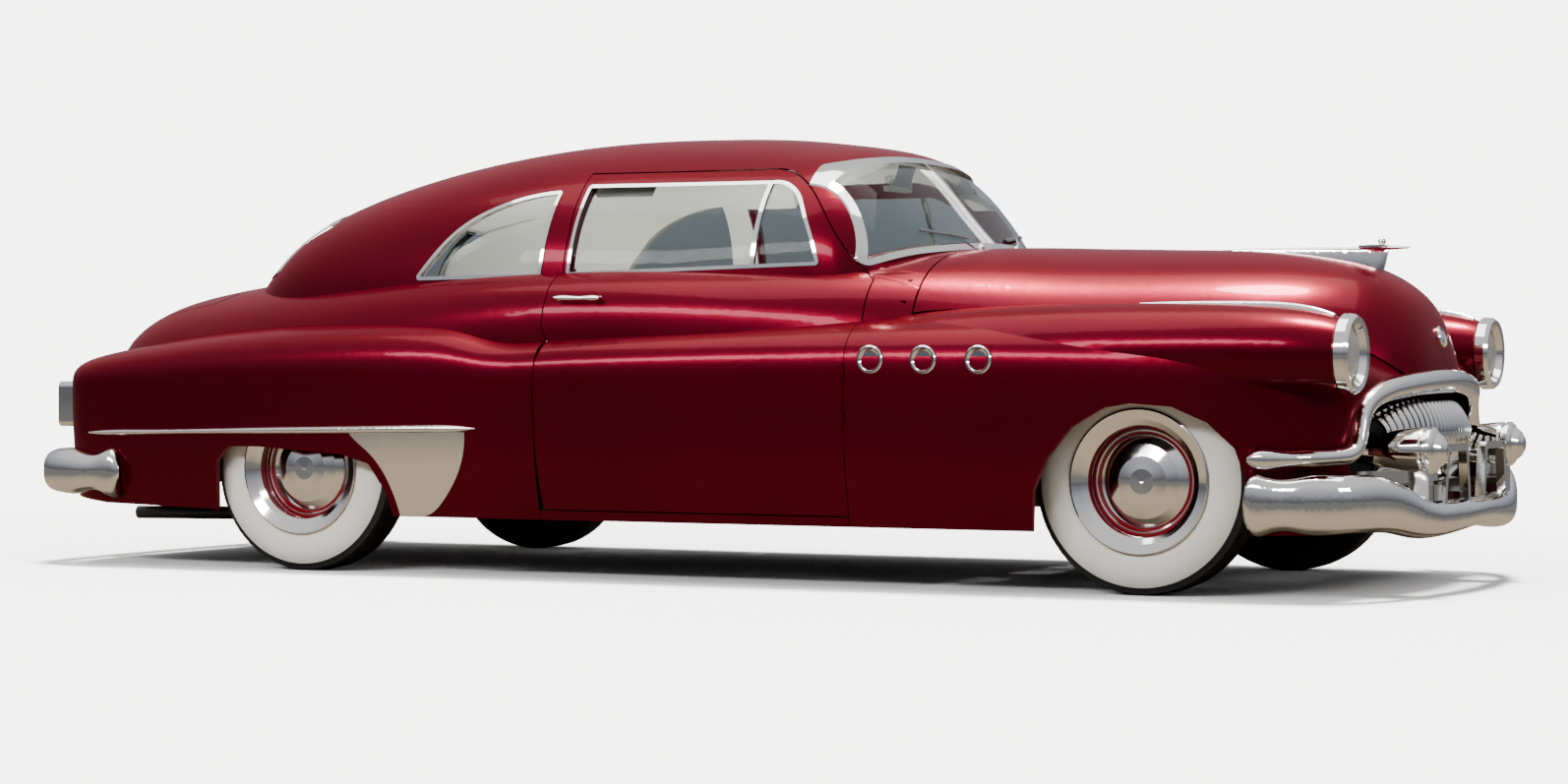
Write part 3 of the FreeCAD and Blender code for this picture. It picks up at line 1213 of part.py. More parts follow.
def hood_ornament(v):
    """A long tapering spear on the hood's ridge with a winged rod, and a plain disc on the nose."""
    places = []
    for x, rise, wide in ((1690, 1.5, 4), (1760, 8, 10), (1900, 17, 16), (2050, 34, 20), (2160, 54, 24),
                          (2225, 74, 26), (2262, 84, 18)):
        places.append((Vector(x, 0, centre_top(x) + rise), Vector(0, 0, 1), wide, rise + 18))
    wing = [(2160, -4), (2215, -62), (2236, -62), (2262, 0), (2236, 62), (2215, 62), (2160, 4)]
    wing = plan_prism(wing, 1104, 1112)
    rod = Part.makeCone(9, 4, 90, Vector(2240, 0, 1104), Vector(1, 0, 0))
    knob = Part.makeSphere(13, Vector(2238, 0, 1124))
    spear = largest(ribbon(places, 12, 2.2).fuse([wing, rod, knob]).cut(v.centre))
    disc = lathe_x([(-30, 0), (-30, 36), (6, 36), (11, 32), (8, 24), (11, 12), (12, 0)], 0, 0)
    disc.rotate(Vector(0, 0, 0), Vector(0, 1, 0), -17)
    disc.translate(Vector(2432, 0, 812))
    disc = max(disc.cut(v.centre).Solids, key=lambda piece: piece.CenterOfMass.x)
    return Part.makeCompound([spear, disc])


def build():
    """All pieces by name."""
    v = Volumes()
    tail = tail_skin(v)
    parts = {"hood": hood_panel(v), "trunk_lid": trunk_lid(v)}
    body_panels(parts, v, tail)
    pairs = {
        "front_fender": front_fender(v),
        "rear_fender": rear_fender(v, tail),
        "door": door_panel(v),
        "door_glass": glass_pane(v, side_window(DOOR_WINDOW, -1000, -500, -GLASS_MARGIN)),
        "door_brightwork": Part.makeCompound(door_window_frame(v).Solids + [door_handle(v)]),
        "knuckle": knuckle(),
    }
    for place, x, y in (("front", FRONT_AXLE_X, FRONT_WHEEL_Y), ("rear", REAR_AXLE_X, REAR_WHEEL_Y)):
        pairs[f"wheel_{place}"] = wheel(x, -y)
        pairs[f"tyre_{place}"] = tyre(x, -y)
    for name, shape in pairs.items():
        parts[f"{name}_right"] = shape
        parts[f"{name}_left"] = mirrored(shape)

    parts["fixed_glass"] = fixed_glass(v)
    parts["window_frames"] = window_frames(v)
    parts["frame_chassis"] = frame_chassis()
    parts["suspension"] = suspension()
    parts["rear_axle"] = rear_axle()
    parts["engine_block"] = engine_block()
    parts["radiator"] = box(2120, 2180, -420, 420, 366.3, 470).fuse(box(2120, 2180, -320, 320, 470, 850))
    parts["fuel_tank"] = box(-2250, -1750, -180, RAIL_INNER_Y - TOUCH, 330, 520)
    parts["exhaust"] = exhaust()
    parts["floor_pan"] = floor_pan()
    parts["dashboard"] = dashboard()
    parts["steering_wheel"] = steering_wheel(parts["dashboard"])
    seats(parts)
    parts["bumper_front"] = front_bumper()
    parts["bumper_rear"] = rear_bumper(v)
    parts["grille"] = grille(v)
    lamps(parts, v)
    parts["side_brightwork"] = side_brightwork(v)
    parts["hood_ornament"] = hood_ornament(v)
    return parts


if __name__ == "__main__":
    os.makedirs("parts", exist_ok=True)
    for name, shape in build().items():
        shape.exportStep(f"parts/{name}.step")
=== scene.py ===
import json
import logging
import math
from contextlib import contextmanager
from dataclasses import dataclass
from enum import Enum
from typing import Callable, Iterator, Optional, Sequence

import bmesh
import bpy
from mathutils import Matrix, Vector


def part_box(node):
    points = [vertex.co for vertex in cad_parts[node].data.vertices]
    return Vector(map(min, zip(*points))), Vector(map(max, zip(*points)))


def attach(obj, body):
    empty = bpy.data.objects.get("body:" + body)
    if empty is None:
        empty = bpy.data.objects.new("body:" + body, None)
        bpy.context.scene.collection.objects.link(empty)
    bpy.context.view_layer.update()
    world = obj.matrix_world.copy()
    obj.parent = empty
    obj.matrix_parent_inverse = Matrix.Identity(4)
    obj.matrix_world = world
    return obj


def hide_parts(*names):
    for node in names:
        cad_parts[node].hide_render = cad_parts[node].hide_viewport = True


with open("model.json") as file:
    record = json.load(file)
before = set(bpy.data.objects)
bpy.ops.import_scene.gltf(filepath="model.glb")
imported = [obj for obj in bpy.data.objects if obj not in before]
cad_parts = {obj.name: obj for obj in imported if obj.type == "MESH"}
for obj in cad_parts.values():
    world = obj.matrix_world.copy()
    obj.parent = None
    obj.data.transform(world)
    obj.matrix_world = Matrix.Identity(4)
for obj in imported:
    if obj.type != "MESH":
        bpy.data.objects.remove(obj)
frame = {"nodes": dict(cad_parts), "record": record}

log = logging.getLogger("sedan")

Pair = tuple[float, float]
Place = tuple[float, float, float]
Colour = tuple[float, float, float]
Stop = tuple[float, Colour]
Socket = bpy.types.NodeSocket
Inputs = dict[str | int, object]
Piece = bpy.types.Object
Material = bpy.types.Material

SIDES = (("right", -1.0), ("left", 1.0))  # with the sign of Y
BLACK: Colour = (0.0, 0.0, 0.0)
WHITE: Colour = (1.0, 1.0, 1.0)
PLATING: Colour = (0.80, 0.79, 0.77)
LINING: Colour = (0.50, 0.48, 0.44)
LINING_DARK: Colour = (0.40, 0.38, 0.35)


def rgba(colour: Colour) -> tuple[float, float, float, float]:
    """The colour with full opacity."""
    return (*colour, 1.0)


# Shader tools


@dataclass(frozen=True)
class Pattern:
    """A noise in cells per metre and octaves, with the two values it works between."""

    scale: float
    detail: float
    low: float
    high: float


@dataclass(frozen=True)
class Relief:
    """How far a height pattern lifts the surface: a share of the effect, and metres for a full step."""

    share: float
    height: float


class Nodes:
    """A node tree, built node by node."""

    def __init__(self, tree: bpy.types.NodeTree) -> None:
        """Work on a tree."""
        self.tree = tree

    def add(self, kind: str, inputs: Optional[Inputs] = None, **settings: object) -> bpy.types.Node:
        """Add a node.

        Args:
            kind: Node type without its prefix.
            inputs: What feeds its sockets, by their names or places.
            **settings: Node properties.

        Returns:
            The node.
        """
        node = self.tree.nodes.new("ShaderNode" + kind)
        for key, value in settings.items():
            setattr(node, key, value)
        for key, value in (inputs or {}).items():
            self.feed(node, key, value)
        return node

    def feed(self, node: bpy.types.Node, key: str | int, value: object) -> None:
        """Feed one socket of a node.

        Args:
            node: The node.
            key: The socket's name or place.
            value: Another socket to link, or a constant to set.
        """
        if isinstance(value, Socket):
            self.tree.links.new(value, node.inputs[key])
        else:
            node.inputs[key].default_value = value

    def maths(self, operation: str, first: object, second: object = 0.0) -> Socket:
        """A maths node on sockets or numbers."""
        return self.add("Math", {0: first, 1: second}, operation=operation).outputs[0]

    def split(self, vector: Socket) -> tuple[Socket, Socket, Socket]:
        """The X, Y and Z of a vector."""
        return tuple(self.add("SeparateXYZ", {0: vector}).outputs)

    def length(self, first: Socket, second: Socket) -> Socket:
        """Length of a flat vector, from its two parts."""
        squares = [self.maths("MULTIPLY", part, part) for part in (first, second)]
        return self.maths("SQRT", self.maths("ADD", *squares))

    def stops(self, factor: Socket, stops: Sequence[Stop], constant: bool = False) -> Socket:
        """A colour ramp.

        Args:
            factor: Value from 0 to 1.
            stops: Positions with their colours, from low to high.
            constant: True for hard steps.

        Returns:
            The colour socket.
        """
        node = self.add("ValToRGB", {"Fac": factor})
        ramp = node.color_ramp
        ramp.interpolation = "CONSTANT" if constant else "LINEAR"
        while len(ramp.elements) < len(stops):
            ramp.elements.new(1.0)
        for element, (position, colour) in zip(ramp.elements, stops):
            element.position = position
            element.color = rgba(colour)
        return node.outputs["Color"]

    def levels(self, factor: Socket, low: float, high: float, start: float = 0.0) -> Socket:
        """A value that goes from a start to 1, stretched to go from low to high."""
        inputs = {"Value": factor, "From Min": start, "To Min": low, "To Max": high}
        return self.add("MapRange", inputs).outputs["Result"]

    def mix(self, share: Socket, first: Socket, second: Socket) -> Socket:
        """A blend of two shaders, all the first where the share is 0."""
        return self.add("MixShader", {0: share, 1: first, 2: second}).outputs["Shader"]


class Shader(Nodes):
    """One material's node tree, read from the object's own coordinates."""

    WAVE_SCALE = 0.314  # scale of Blender's wave texture at which it repeats every metre

    def __init__(self, name: str, colour: Colour, roughness: float, metallic: float = 0.0) -> None:
        """Start a material with a principled surface.

        Args:
            name: Plain name of the finish.
            colour: Base colour in linear light.
            roughness: Surface roughness.
            metallic: 1 for bare metal.
        """
        self.material = bpy.data.materials.new(name)
        self.material.use_nodes = True
        super().__init__(self.material.node_tree)
        self.surface = self.tree.nodes["Principled BSDF"]
        self.put("Base Color", rgba(colour))
        self.put("Roughness", roughness)
        self.put("Metallic", metallic)
        self.place = self.add("TexCoord").outputs["Object"]

    def put(self, socket: str, value: object) -> None:
        """Feed the surface's own socket with a constant or another socket."""
        self.feed(self.surface, socket, value)

    def moved(self, centre: Place, scale: Place = (1.0, 1.0, 1.0)) -> Socket:
        """Coordinates measured from a centre and stretched.

        Args:
            centre: Point that becomes the origin.
            scale: Stretch of the pattern along each axis.

        Returns:
            The vector socket.
        """
        location = tuple(-c * s for c, s in zip(centre, scale))
        inputs = {"Vector": self.place, "Location": location, "Scale": scale}
        return self.add("Mapping", inputs, vector_type="POINT").outputs["Vector"]

    def noise(self, scale: float, detail: float = 2.0) -> Socket:
        """A noise between 0 and 1, in cells per metre and octaves."""
        inputs = {"Scale": scale, "Detail": detail, "Vector": self.place}
        return self.add("TexNoise", inputs).outputs["Fac"]

    def wave(self, direction: str, pitch: float, wander: float = 0.0) -> Socket:
        """Bands across X, Y or Z, a pitch in metres apart, that may wander from straight."""
        inputs = {"Scale": self.WAVE_SCALE / pitch, "Distortion": wander, "Vector": self.place}
        return self.add("TexWave", inputs, bands_direction=direction).outputs["Fac"]

    def mottle(self, pattern: Pattern, dark: Colour, light: Colour) -> None:
        """Colour the surface by a noise, dark up to the pattern's low value and light from its high one."""
        factor = self.noise(pattern.scale, pattern.detail)
        self.put("Base Color", self.stops(factor, ((pattern.low, dark), (pattern.high, light))))

    def wear(self, pattern: Pattern) -> None:
        """Let the roughness wander between a pattern's two values."""
        factor = self.noise(pattern.scale, pattern.detail)
        self.put("Roughness", self.levels(factor, pattern.low, pattern.high))

    def bump(self, height: Socket, relief: Relief) -> None:
        """Raise the surface by a height pattern from 0 to 1."""
        inputs = {"Height": height, "Strength": relief.share, "Distance": relief.height}
        self.put("Normal", self.add("Bump", inputs).outputs["Normal"])


# Finishes


@dataclass(frozen=True)
class PaintFinish:
    """Deep gloss enamel under a thin clear coat."""

    name: str = "maroon_enamel"
    colour: Colour = (0.084, 0.0003, 0.0080)
    deep: Colour = (0.066, 0.0002, 0.0060)
    clouds: Pattern = Pattern(1.6, 2.0, 0.30, 0.72)
    roughness: float = 0.25
    lustre: float = 0.64
    coat: float = 0.10
    coat_roughness: float = 0.03
    gloss: float = 0.20
    gloss_tint: Colour = (1.0, 0.10, 0.12)
    peel_scale: float = 620.0
    peel_detail: float = 1.0
    peel: Relief = Relief(0.05, 0.0002)

    def build(self) -> Material:
        """The enamel material."""
        shader = self.start()
        shader.mottle(self.clouds, self.deep, self.colour)
        return shader.material

    def start(self) -> Shader:
        """The enamel's shader, before its colour."""
        shader = Shader(self.name, self.colour, self.roughness, self.lustre)
        shader.put("Coat Weight", self.coat)
        shader.put("Coat Roughness", self.coat_roughness)
        shader.put("Specular IOR Level", self.gloss)
        shader.put("Specular Tint", rgba(self.gloss_tint))
        shader.bump(shader.noise(self.peel_scale, self.peel_detail), self.peel)
        return shader


@dataclass(frozen=True)
class LinedPaintFinish(PaintFinish):
    """Enamel outside, pale lining cloth on the faces that look into the cabin."""

    name: str = "lined_enamel"
    cabin: Place = (-0.35, 0.0, 0.95)
    cloud_share: float = 0.4
    cloth_roughness: float = 0.85

    def build(self) -> Material:
        """The enamel with its lining."""
        shader = self.start()
        sight = {0: shader.moved(self.cabin), 1: shader.add("NewGeometry").outputs["Normal"]}
        outward = shader.add("VectorMath", sight, operation="DOT_PRODUCT").outputs["Value"]
        lined = shader.maths("LESS_THAN", outward, 0.0)
        clouds = shader.noise(self.clouds.scale, self.clouds.detail)
        clouds = shader.maths("MULTIPLY", clouds, self.cloud_share)
        shade = shader.maths("ADD", clouds, shader.maths("MULTIPLY", lined, 1.0 - self.cloud_share))
        enamel = ((0.12, self.deep), (0.29, self.colour), (0.55, self.colour))
        cloth = ((0.60, LINING_DARK), (0.90, LINING))
        shader.put("Base Color", shader.stops(shade, enamel + cloth))
        shader.put("Roughness", shader.levels(lined, self.roughness, self.cloth_roughness))
        shader.put("Metallic", shader.levels(lined, self.lustre, 0.0))
        return shader.material


@dataclass(frozen=True)
class ChromeFinish:
    """Bright plating with faint polishing haze."""

    name: str = "bright_chrome"
    colour: Colour = PLATING
    haze: Pattern = Pattern(14.0, 5.0, 0.03, 0.10)
    ripple_scale: float = 9.0
    ripple: Relief = Relief(0.06, 0.002)

    def build(self) -> Material:
        """The plating material."""
        shader = Shader(self.name, self.colour, self.haze.low, 1.0)
        shader.wear(self.haze)
        shader.bump(shader.noise(self.ripple_scale), self.ripple)
        return shader.material


@dataclass(frozen=True)
class GlassFinish:
    """Clear safety glass with a faint green tint; its index is low because the panes are thin."""

    name: str = "safety_glass"
    colour: Colour = (0.86, 0.93, 0.90)
    index: float = 1.12
    haze: Pattern = Pattern(5.0, 3.0, 0.0, 0.03)

    def build(self) -> Material:
        """The glass material."""
        shader = Shader(self.name, self.colour, self.haze.low)
        shader.put("Transmission Weight", 1.0)
        shader.put("IOR", self.index)
        shader.wear(self.haze)
        return shader.material


@dataclass(frozen=True)
class FlutedGlassFinish:
    """Lamp glass with vertical flutes."""

    name: str
    colour: Colour
    pitch: float = 0.008
    transmission: float = 0.75
    roughness: float = 0.08
    index: float = 1.35
    shade: float = 0.82
    clouds: Pattern = Pattern(40.0, 2.0, 0.3, 0.7)
    flute: Relief = Relief(0.5, 0.002)

    def build(self) -> Material:
        """The lamp glass material."""
        shader = Shader(self.name, self.colour, self.roughness)
        shader.put("Transmission Weight", self.transmission)
        shader.put("IOR", self.index)
        shader.bump(shader.wave("Y", self.pitch), self.flute)
        shader.mottle(self.clouds, tuple(c * self.shade for c in self.colour), self.colour)
        return shader.material


@dataclass(frozen=True)
class RubberFinish:
    """Black rubber with a broad white band on the outer side wall, and sipes on the tread."""

    name: str
    centre: Place
    white: Colour = (0.78, 0.76, 0.70)
    black: Colour = (0.012, 0.012, 0.012)
    roughness: float = 0.72
    gloss: float = 0.3
    band: Pair = (0.226, 0.333)
    wall: float = 0.04
    grime: Pattern = Pattern(7.0, 6.0, 0.86, 1.04)
    tread: float = 0.338
    sipes: float = 96.0
    sipe_edge: float = 0.72
    rings: float = 900.0
    ring_share: float = 0.06
    relief: Relief = Relief(0.6, 0.003)

    def build(self) -> Material:
        """The tyre material; the band lies on the side away from the car."""
        shader = Shader(self.name, self.black, self.roughness)
        shader.put("Specular IOR Level", self.gloss)
        ahead, across, up = shader.split(shader.moved(self.centre))
        radius = shader.length(ahead, up)
        outward = shader.maths("MULTIPLY", across, math.copysign(1.0, self.centre[1]))
        outside = shader.maths("GREATER_THAN", outward, self.wall)
        low = shader.maths("GREATER_THAN", radius, self.band[0])
        high = shader.maths("LESS_THAN", radius, self.band[1])
        inside = shader.maths("MULTIPLY", shader.maths("MULTIPLY", low, high), outside)
        grime = shader.noise(self.grime.scale, self.grime.detail)
        grime = shader.levels(grime, self.grime.low, self.grime.high)
        shade = shader.maths("MULTIPLY", inside, grime)
        shader.put("Base Color", shader.stops(shade, ((0.0, self.black), (1.0, self.white))))
        turn = shader.maths("MULTIPLY", shader.maths("ARCTAN2", up, ahead), self.sipes)
        cuts = shader.maths("SINE", turn)
        on_tread = shader.maths("GREATER_THAN", radius, self.tread)
        sipes = shader.maths("MULTIPLY", shader.maths("GREATER_THAN", cuts, self.sipe_edge), on_tread)
        rings = shader.maths("SINE", shader.maths("MULTIPLY", radius, self.rings))
        rings = shader.maths("MULTIPLY", rings, self.ring_share)
        shader.bump(shader.maths("SUBTRACT", rings, sipes), self.relief)
        return shader.material


@dataclass(frozen=True)
class WheelFinish:
    """Pressed wheel: bright dome, painted disc with one thin bright line, bright trim ring."""

    name: str
    centre: Place
    paint: Colour = (0.165, 0.0020, 0.0085)
    full: float = 0.25
    dome: float = 0.146
    line: Pair = (0.158, 0.163)
    rim: float = 0.177
    haze: Pattern = Pattern(20.0, 4.0, 0.05, 0.13)

    def build(self) -> Material:
        """The wheel material, in rings round the axle."""
        shader = Shader(self.name, PLATING, self.haze.high)
        ahead, _, up = shader.split(shader.moved(self.centre))
        share = shader.maths("DIVIDE", shader.length(ahead, up), self.full)
        start, end = self.line
        edges = ((0.0, WHITE), (self.dome, BLACK), (start, WHITE), (end, BLACK), (self.rim, WHITE))
        rings = [(radius / self.full, colour) for radius, colour in edges]
        bright = shader.stops(share, rings, constant=True)
        shader.put("Base Color", shader.stops(bright, ((0.0, self.paint), (1.0, PLATING))))
        shader.put("Metallic", bright)
        shader.wear(self.haze)
        return shader.material


@dataclass(frozen=True)
class ClothFinish:
    """Woven broadcloth with soft sheen."""

    name: str = "seat_broadcloth"
    colour: Colour = (0.30, 0.27, 0.23)
    dark: Colour = (0.20, 0.18, 0.155)
    roughness: float = 0.86
    sheen: float = 0.4
    sheen_roughness: float = 0.5
    pitch: float = 0.0035
    wander: float = 0.4
    nap: Pattern = Pattern(6.0, 4.0, 0.2, 0.6)
    nap_share: float = 0.5
    weave: Relief = Relief(0.5, 0.0008)

    def build(self) -> Material:
        """The cloth material."""
        shader = Shader(self.name, self.colour, self.roughness)
        shader.put("Sheen Weight", self.sheen)
        shader.put("Sheen Roughness", self.sheen_roughness)
        threads = [shader.wave(direction, self.pitch, self.wander) for direction in ("Y", "Z")]
        weave = shader.maths("MULTIPLY", *threads)
        nap = shader.maths("MULTIPLY", shader.noise(self.nap.scale, self.nap.detail), self.nap_share)
        shade = shader.maths("ADD", shader.maths("MULTIPLY", weave, 1.0 - self.nap_share), nap)
        stops = ((self.nap.low, self.dark), (self.nap.high, self.colour))
        shader.put("Base Color", shader.stops(shade, stops))
        shader.bump(weave, self.weave)
        return shader.material


@dataclass(frozen=True)
class PlainFinish:
    """A plain finish with broad mottling and a fine grain."""

    name: str
    colour: Colour
    roughness: float
    metallic: float = 0.0
    shade: float = 0.75
    clouds: Pattern = Pattern(12.0, 5.0, 0.32, 0.68)
    wear: float = 0.15
    wear_scale: float = 24.0
    wear_detail: float = 4.0
    grain_scale: float = 260.0
    grain: Relief = Relief(0.3, 0.0006)

    def build(self) -> Material:
        """The plain material."""
        shader = Shader(self.name, self.colour, self.roughness, self.metallic)
        shader.mottle(self.clouds, tuple(c * self.shade for c in self.colour), self.colour)
        least, most = self.roughness * (1.0 - self.wear), min(1.0, self.roughness * (1.0 + self.wear))
        shader.wear(Pattern(self.wear_scale, self.wear_detail, least, most))
        shader.bump(shader.noise(self.grain_scale), self.grain)
        return shader.material


class Slot(Enum):
    """The record's material slots."""

    PAINT = "paint"
    CHROME = "chrome"
    GLASS = "glass"
    TYRE = "tyre"
    UPHOLSTERY = "upholstery"
    FRAME = "frame"
    IRON = "iron"
    LENS = "lens"
    RED_LENS = "red_lens"
    FLOOR = "floor"
    WHEEL_PAINT = "wheel_paint"
    PLASTIC = "plastic"


class Palette:
    """The finishes that pieces share, built once."""

    def __init__(self) -> None:
        """Build the shared materials."""
        iron = (0.045, 0.060, 0.052)
        self.by_slot: dict[Slot, Material] = {
            Slot.PAINT: PaintFinish().build(),
            Slot.CHROME: ChromeFinish().build(),
            Slot.GLASS: GlassFinish().build(),
            Slot.UPHOLSTERY: ClothFinish().build(),
            Slot.FRAME: PlainFinish("chassis_black", (0.016, 0.016, 0.017), 0.42).build(),
            Slot.IRON: PlainFinish("cast_iron_green", iron, 0.62, 0.3, grain=Relief(0.3, 0.0015)).build(),
            Slot.LENS: FlutedGlassFinish("headlamp_glass", (0.93, 0.94, 0.90)).build(),
            Slot.RED_LENS: FlutedGlassFinish("ruby_lamp_glass", (0.55, 0.008, 0.008), 0.006, 0.45).build(),
            Slot.FLOOR: PlainFinish("floor_primer", (0.045, 0.038, 0.034), 0.7).build(),
            Slot.PLASTIC: PlainFinish("ivory_plastic", (0.55, 0.48, 0.36), 0.32, shade=0.9).build(),
        }
        self.lined_paint = LinedPaintFinish().build()
        self.rubber_seal = PlainFinish("seal_rubber", (0.012, 0.012, 0.012), 0.6).build()
        self.door_card = ClothFinish("door_card_cloth", (0.24, 0.215, 0.18), (0.17, 0.15, 0.125)).build()
        self.headliner = ClothFinish("headliner_cloth", LINING, LINING_DARK).build()


# Bench tools


class Bench:
    """Modelling by operators, with parts of a mesh picked by place."""

    SEED = 0.01  # side of the small plane that a drawn line starts from
    FACING = 0.9  # a face looks along an axis when its normal has more than this along it

    @staticmethod
    def take(piece: Piece) -> None:
        """Select one piece alone and make it active."""
        bpy.ops.object.select_all(action="DESELECT")
        piece.select_set(True)
        bpy.context.view_layer.objects.active = piece

    @staticmethod
    def start(name: str, add: Callable[..., object], **settings: object) -> Piece:
        """Add a primitive under a name.

        Args:
            name: The piece's name.
            add: One of Blender's primitive operators.
            **settings: The primitive's size and place.

        Returns:
            The new object.
        """
        bpy.ops.object.select_all(action="DESELECT")
        add(**settings)
        piece = bpy.context.object
        piece.name = piece.data.name = name
        bpy.ops.object.transform_apply(location=True, rotation=True, scale=True)
        return piece

    @staticmethod
    @contextmanager
    def editing(piece: Piece, kind: str = "FACE", action: str = "DESELECT") -> Iterator[None]:
        """Edit mode on one piece.

        Args:
            piece: The object.
            kind: VERT, EDGE or FACE.
            action: DESELECT to start with nothing selected, SELECT for all of it.
        """
        Bench.take(piece)
        bpy.ops.object.mode_set(mode="EDIT")
        bpy.ops.mesh.select_mode(type=kind)
        bpy.ops.mesh.select_all(action=action)
        yield
        bpy.ops.object.mode_set(mode="OBJECT")

    @staticmethod
    def push(step: Sequence[float]) -> None:
        """Extrude what is selected along a step."""
        bpy.ops.mesh.extrude_region_move(TRANSFORM_OT_translate={"value": tuple(step)})

    @staticmethod
    def pick(piece: Piece, kind: str, test: Callable[[object], bool]) -> None:
        """Select the faces or edges that pass a test.

        Args:
            piece: The object, in edit mode.
            kind: faces or edges.
            test: Takes a face or an edge.
        """
        mesh = bmesh.from_edit_mesh(piece.data)
        for part in getattr(mesh, kind):
            part.select_set(test(part))
        bmesh.update_edit_mesh(piece.data)

    @staticmethod
    def apply(piece: Piece, kind: str, **settings: object) -> None:
        """Add a modifier and apply it.

        Args:
            piece: The object.
            kind: Modifier type.
            **settings: Its properties.
        """
        Bench.take(piece)
        modifier = piece.modifiers.new(kind.lower(), kind)
        for key, value in settings.items():
            setattr(modifier, key, value)
        bpy.ops.object.modifier_apply(modifier=modifier.name)

    @staticmethod
    def smooth(piece: Piece, angle: float) -> None:
        """Shade smooth up to an angle in degrees."""
        Bench.take(piece)
        bpy.ops.object.shade_smooth_by_angle(angle=math.radians(angle))

    @staticmethod
    def soften(piece: Piece, width: float, segments: int = 2, angle: float = 40.0) -> None:
        """Round the sharp edges by a width, then shade smooth up to an angle in degrees."""
        Bench.apply(piece, "BEVEL", width=width, segments=segments, limit_method="ANGLE")
        Bench.smooth(piece, angle)

    @staticmethod
    def drawn(name: str, points: Sequence[Place], closed: bool = False) -> Piece:
        """A line of edges drawn point by point with the extrude tool.

        Args:
            name: The piece's name.
            points: Corners of the line.
            closed: True to join the last point to the first and fill the outline.

        Returns:
            The object.
        """
        piece = Bench.start(name, bpy.ops.mesh.primitive_plane_add, size=Bench.SEED, location=points[0])
        with Bench.editing(piece, "VERT", "SELECT"):
            bpy.ops.mesh.merge(type="CENTER")
            for before, after in zip(points, points[1:]):
                Bench.push([b - a for a, b in zip(before, after)])
            if closed:
                bpy.ops.mesh.select_all(action="SELECT")
                bpy.ops.mesh.edge_face_add()
        return piece

    @staticmethod
    def finish(piece: Piece, material: Material, slot: Slot, body: str) -> None:
        """Dress a piece and let it ride on its body.

        Args:
            piece: The finished object.
            material: Its material.
            slot: Not used.
            body: The CAD body that carries it.
        """
        piece.data.materials.clear()
        piece.data.materials.append(material)
        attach(piece, body)
        log.info("%s rides on %s", piece.name, body)

    @staticmethod
    def meet(node: str, start: Place, along: Place, miss: float) -> float:
        """Where a line along one axis first meets a CAD node.

        Args:
            node: Name of the CAD node.
            start: Point that the line starts from.
            along: Its direction, a unit step along X, Y or Z.
            miss: Result where nothing is met.

        Returns:
            The meeting point's coordinate on that axis.
        """
        hit, place, _, _ = frame["nodes"][node].ray_cast(Vector(start), Vector(along))
        axis = [abs(step) for step in along].index(1.0)
        return place[axis] if hit else miss


# Sub-assemblies


@dataclass
class CadSkin:
    """The CAD nodes, dressed by their slots."""

    palette: Palette
    lined: tuple[str, ...] = ("roof_panel", "quarter_panels")

    def build(self) -> None:
        """Dress every CAD node but the tyres and wheels."""
        slots = {part["node"]: Slot(part["material_slot"]) for part in frame["record"]["subparts"]}
        for name, node in frame["nodes"].items():
            if name in self.lined:
                self.dress(node, self.palette.lined_paint)
            elif slots[name] not in (Slot.TYRE, Slot.WHEEL_PAINT):
                self.dress(node, self.palette.by_slot[slots[name]])

    @staticmethod
    def dress(node: Piece, material: Material) -> None:
        """Put one material on all of a node's slots."""
        if not node.material_slots:
            node.data.materials.append(material)
        for slot in node.material_slots:
            slot.material = material


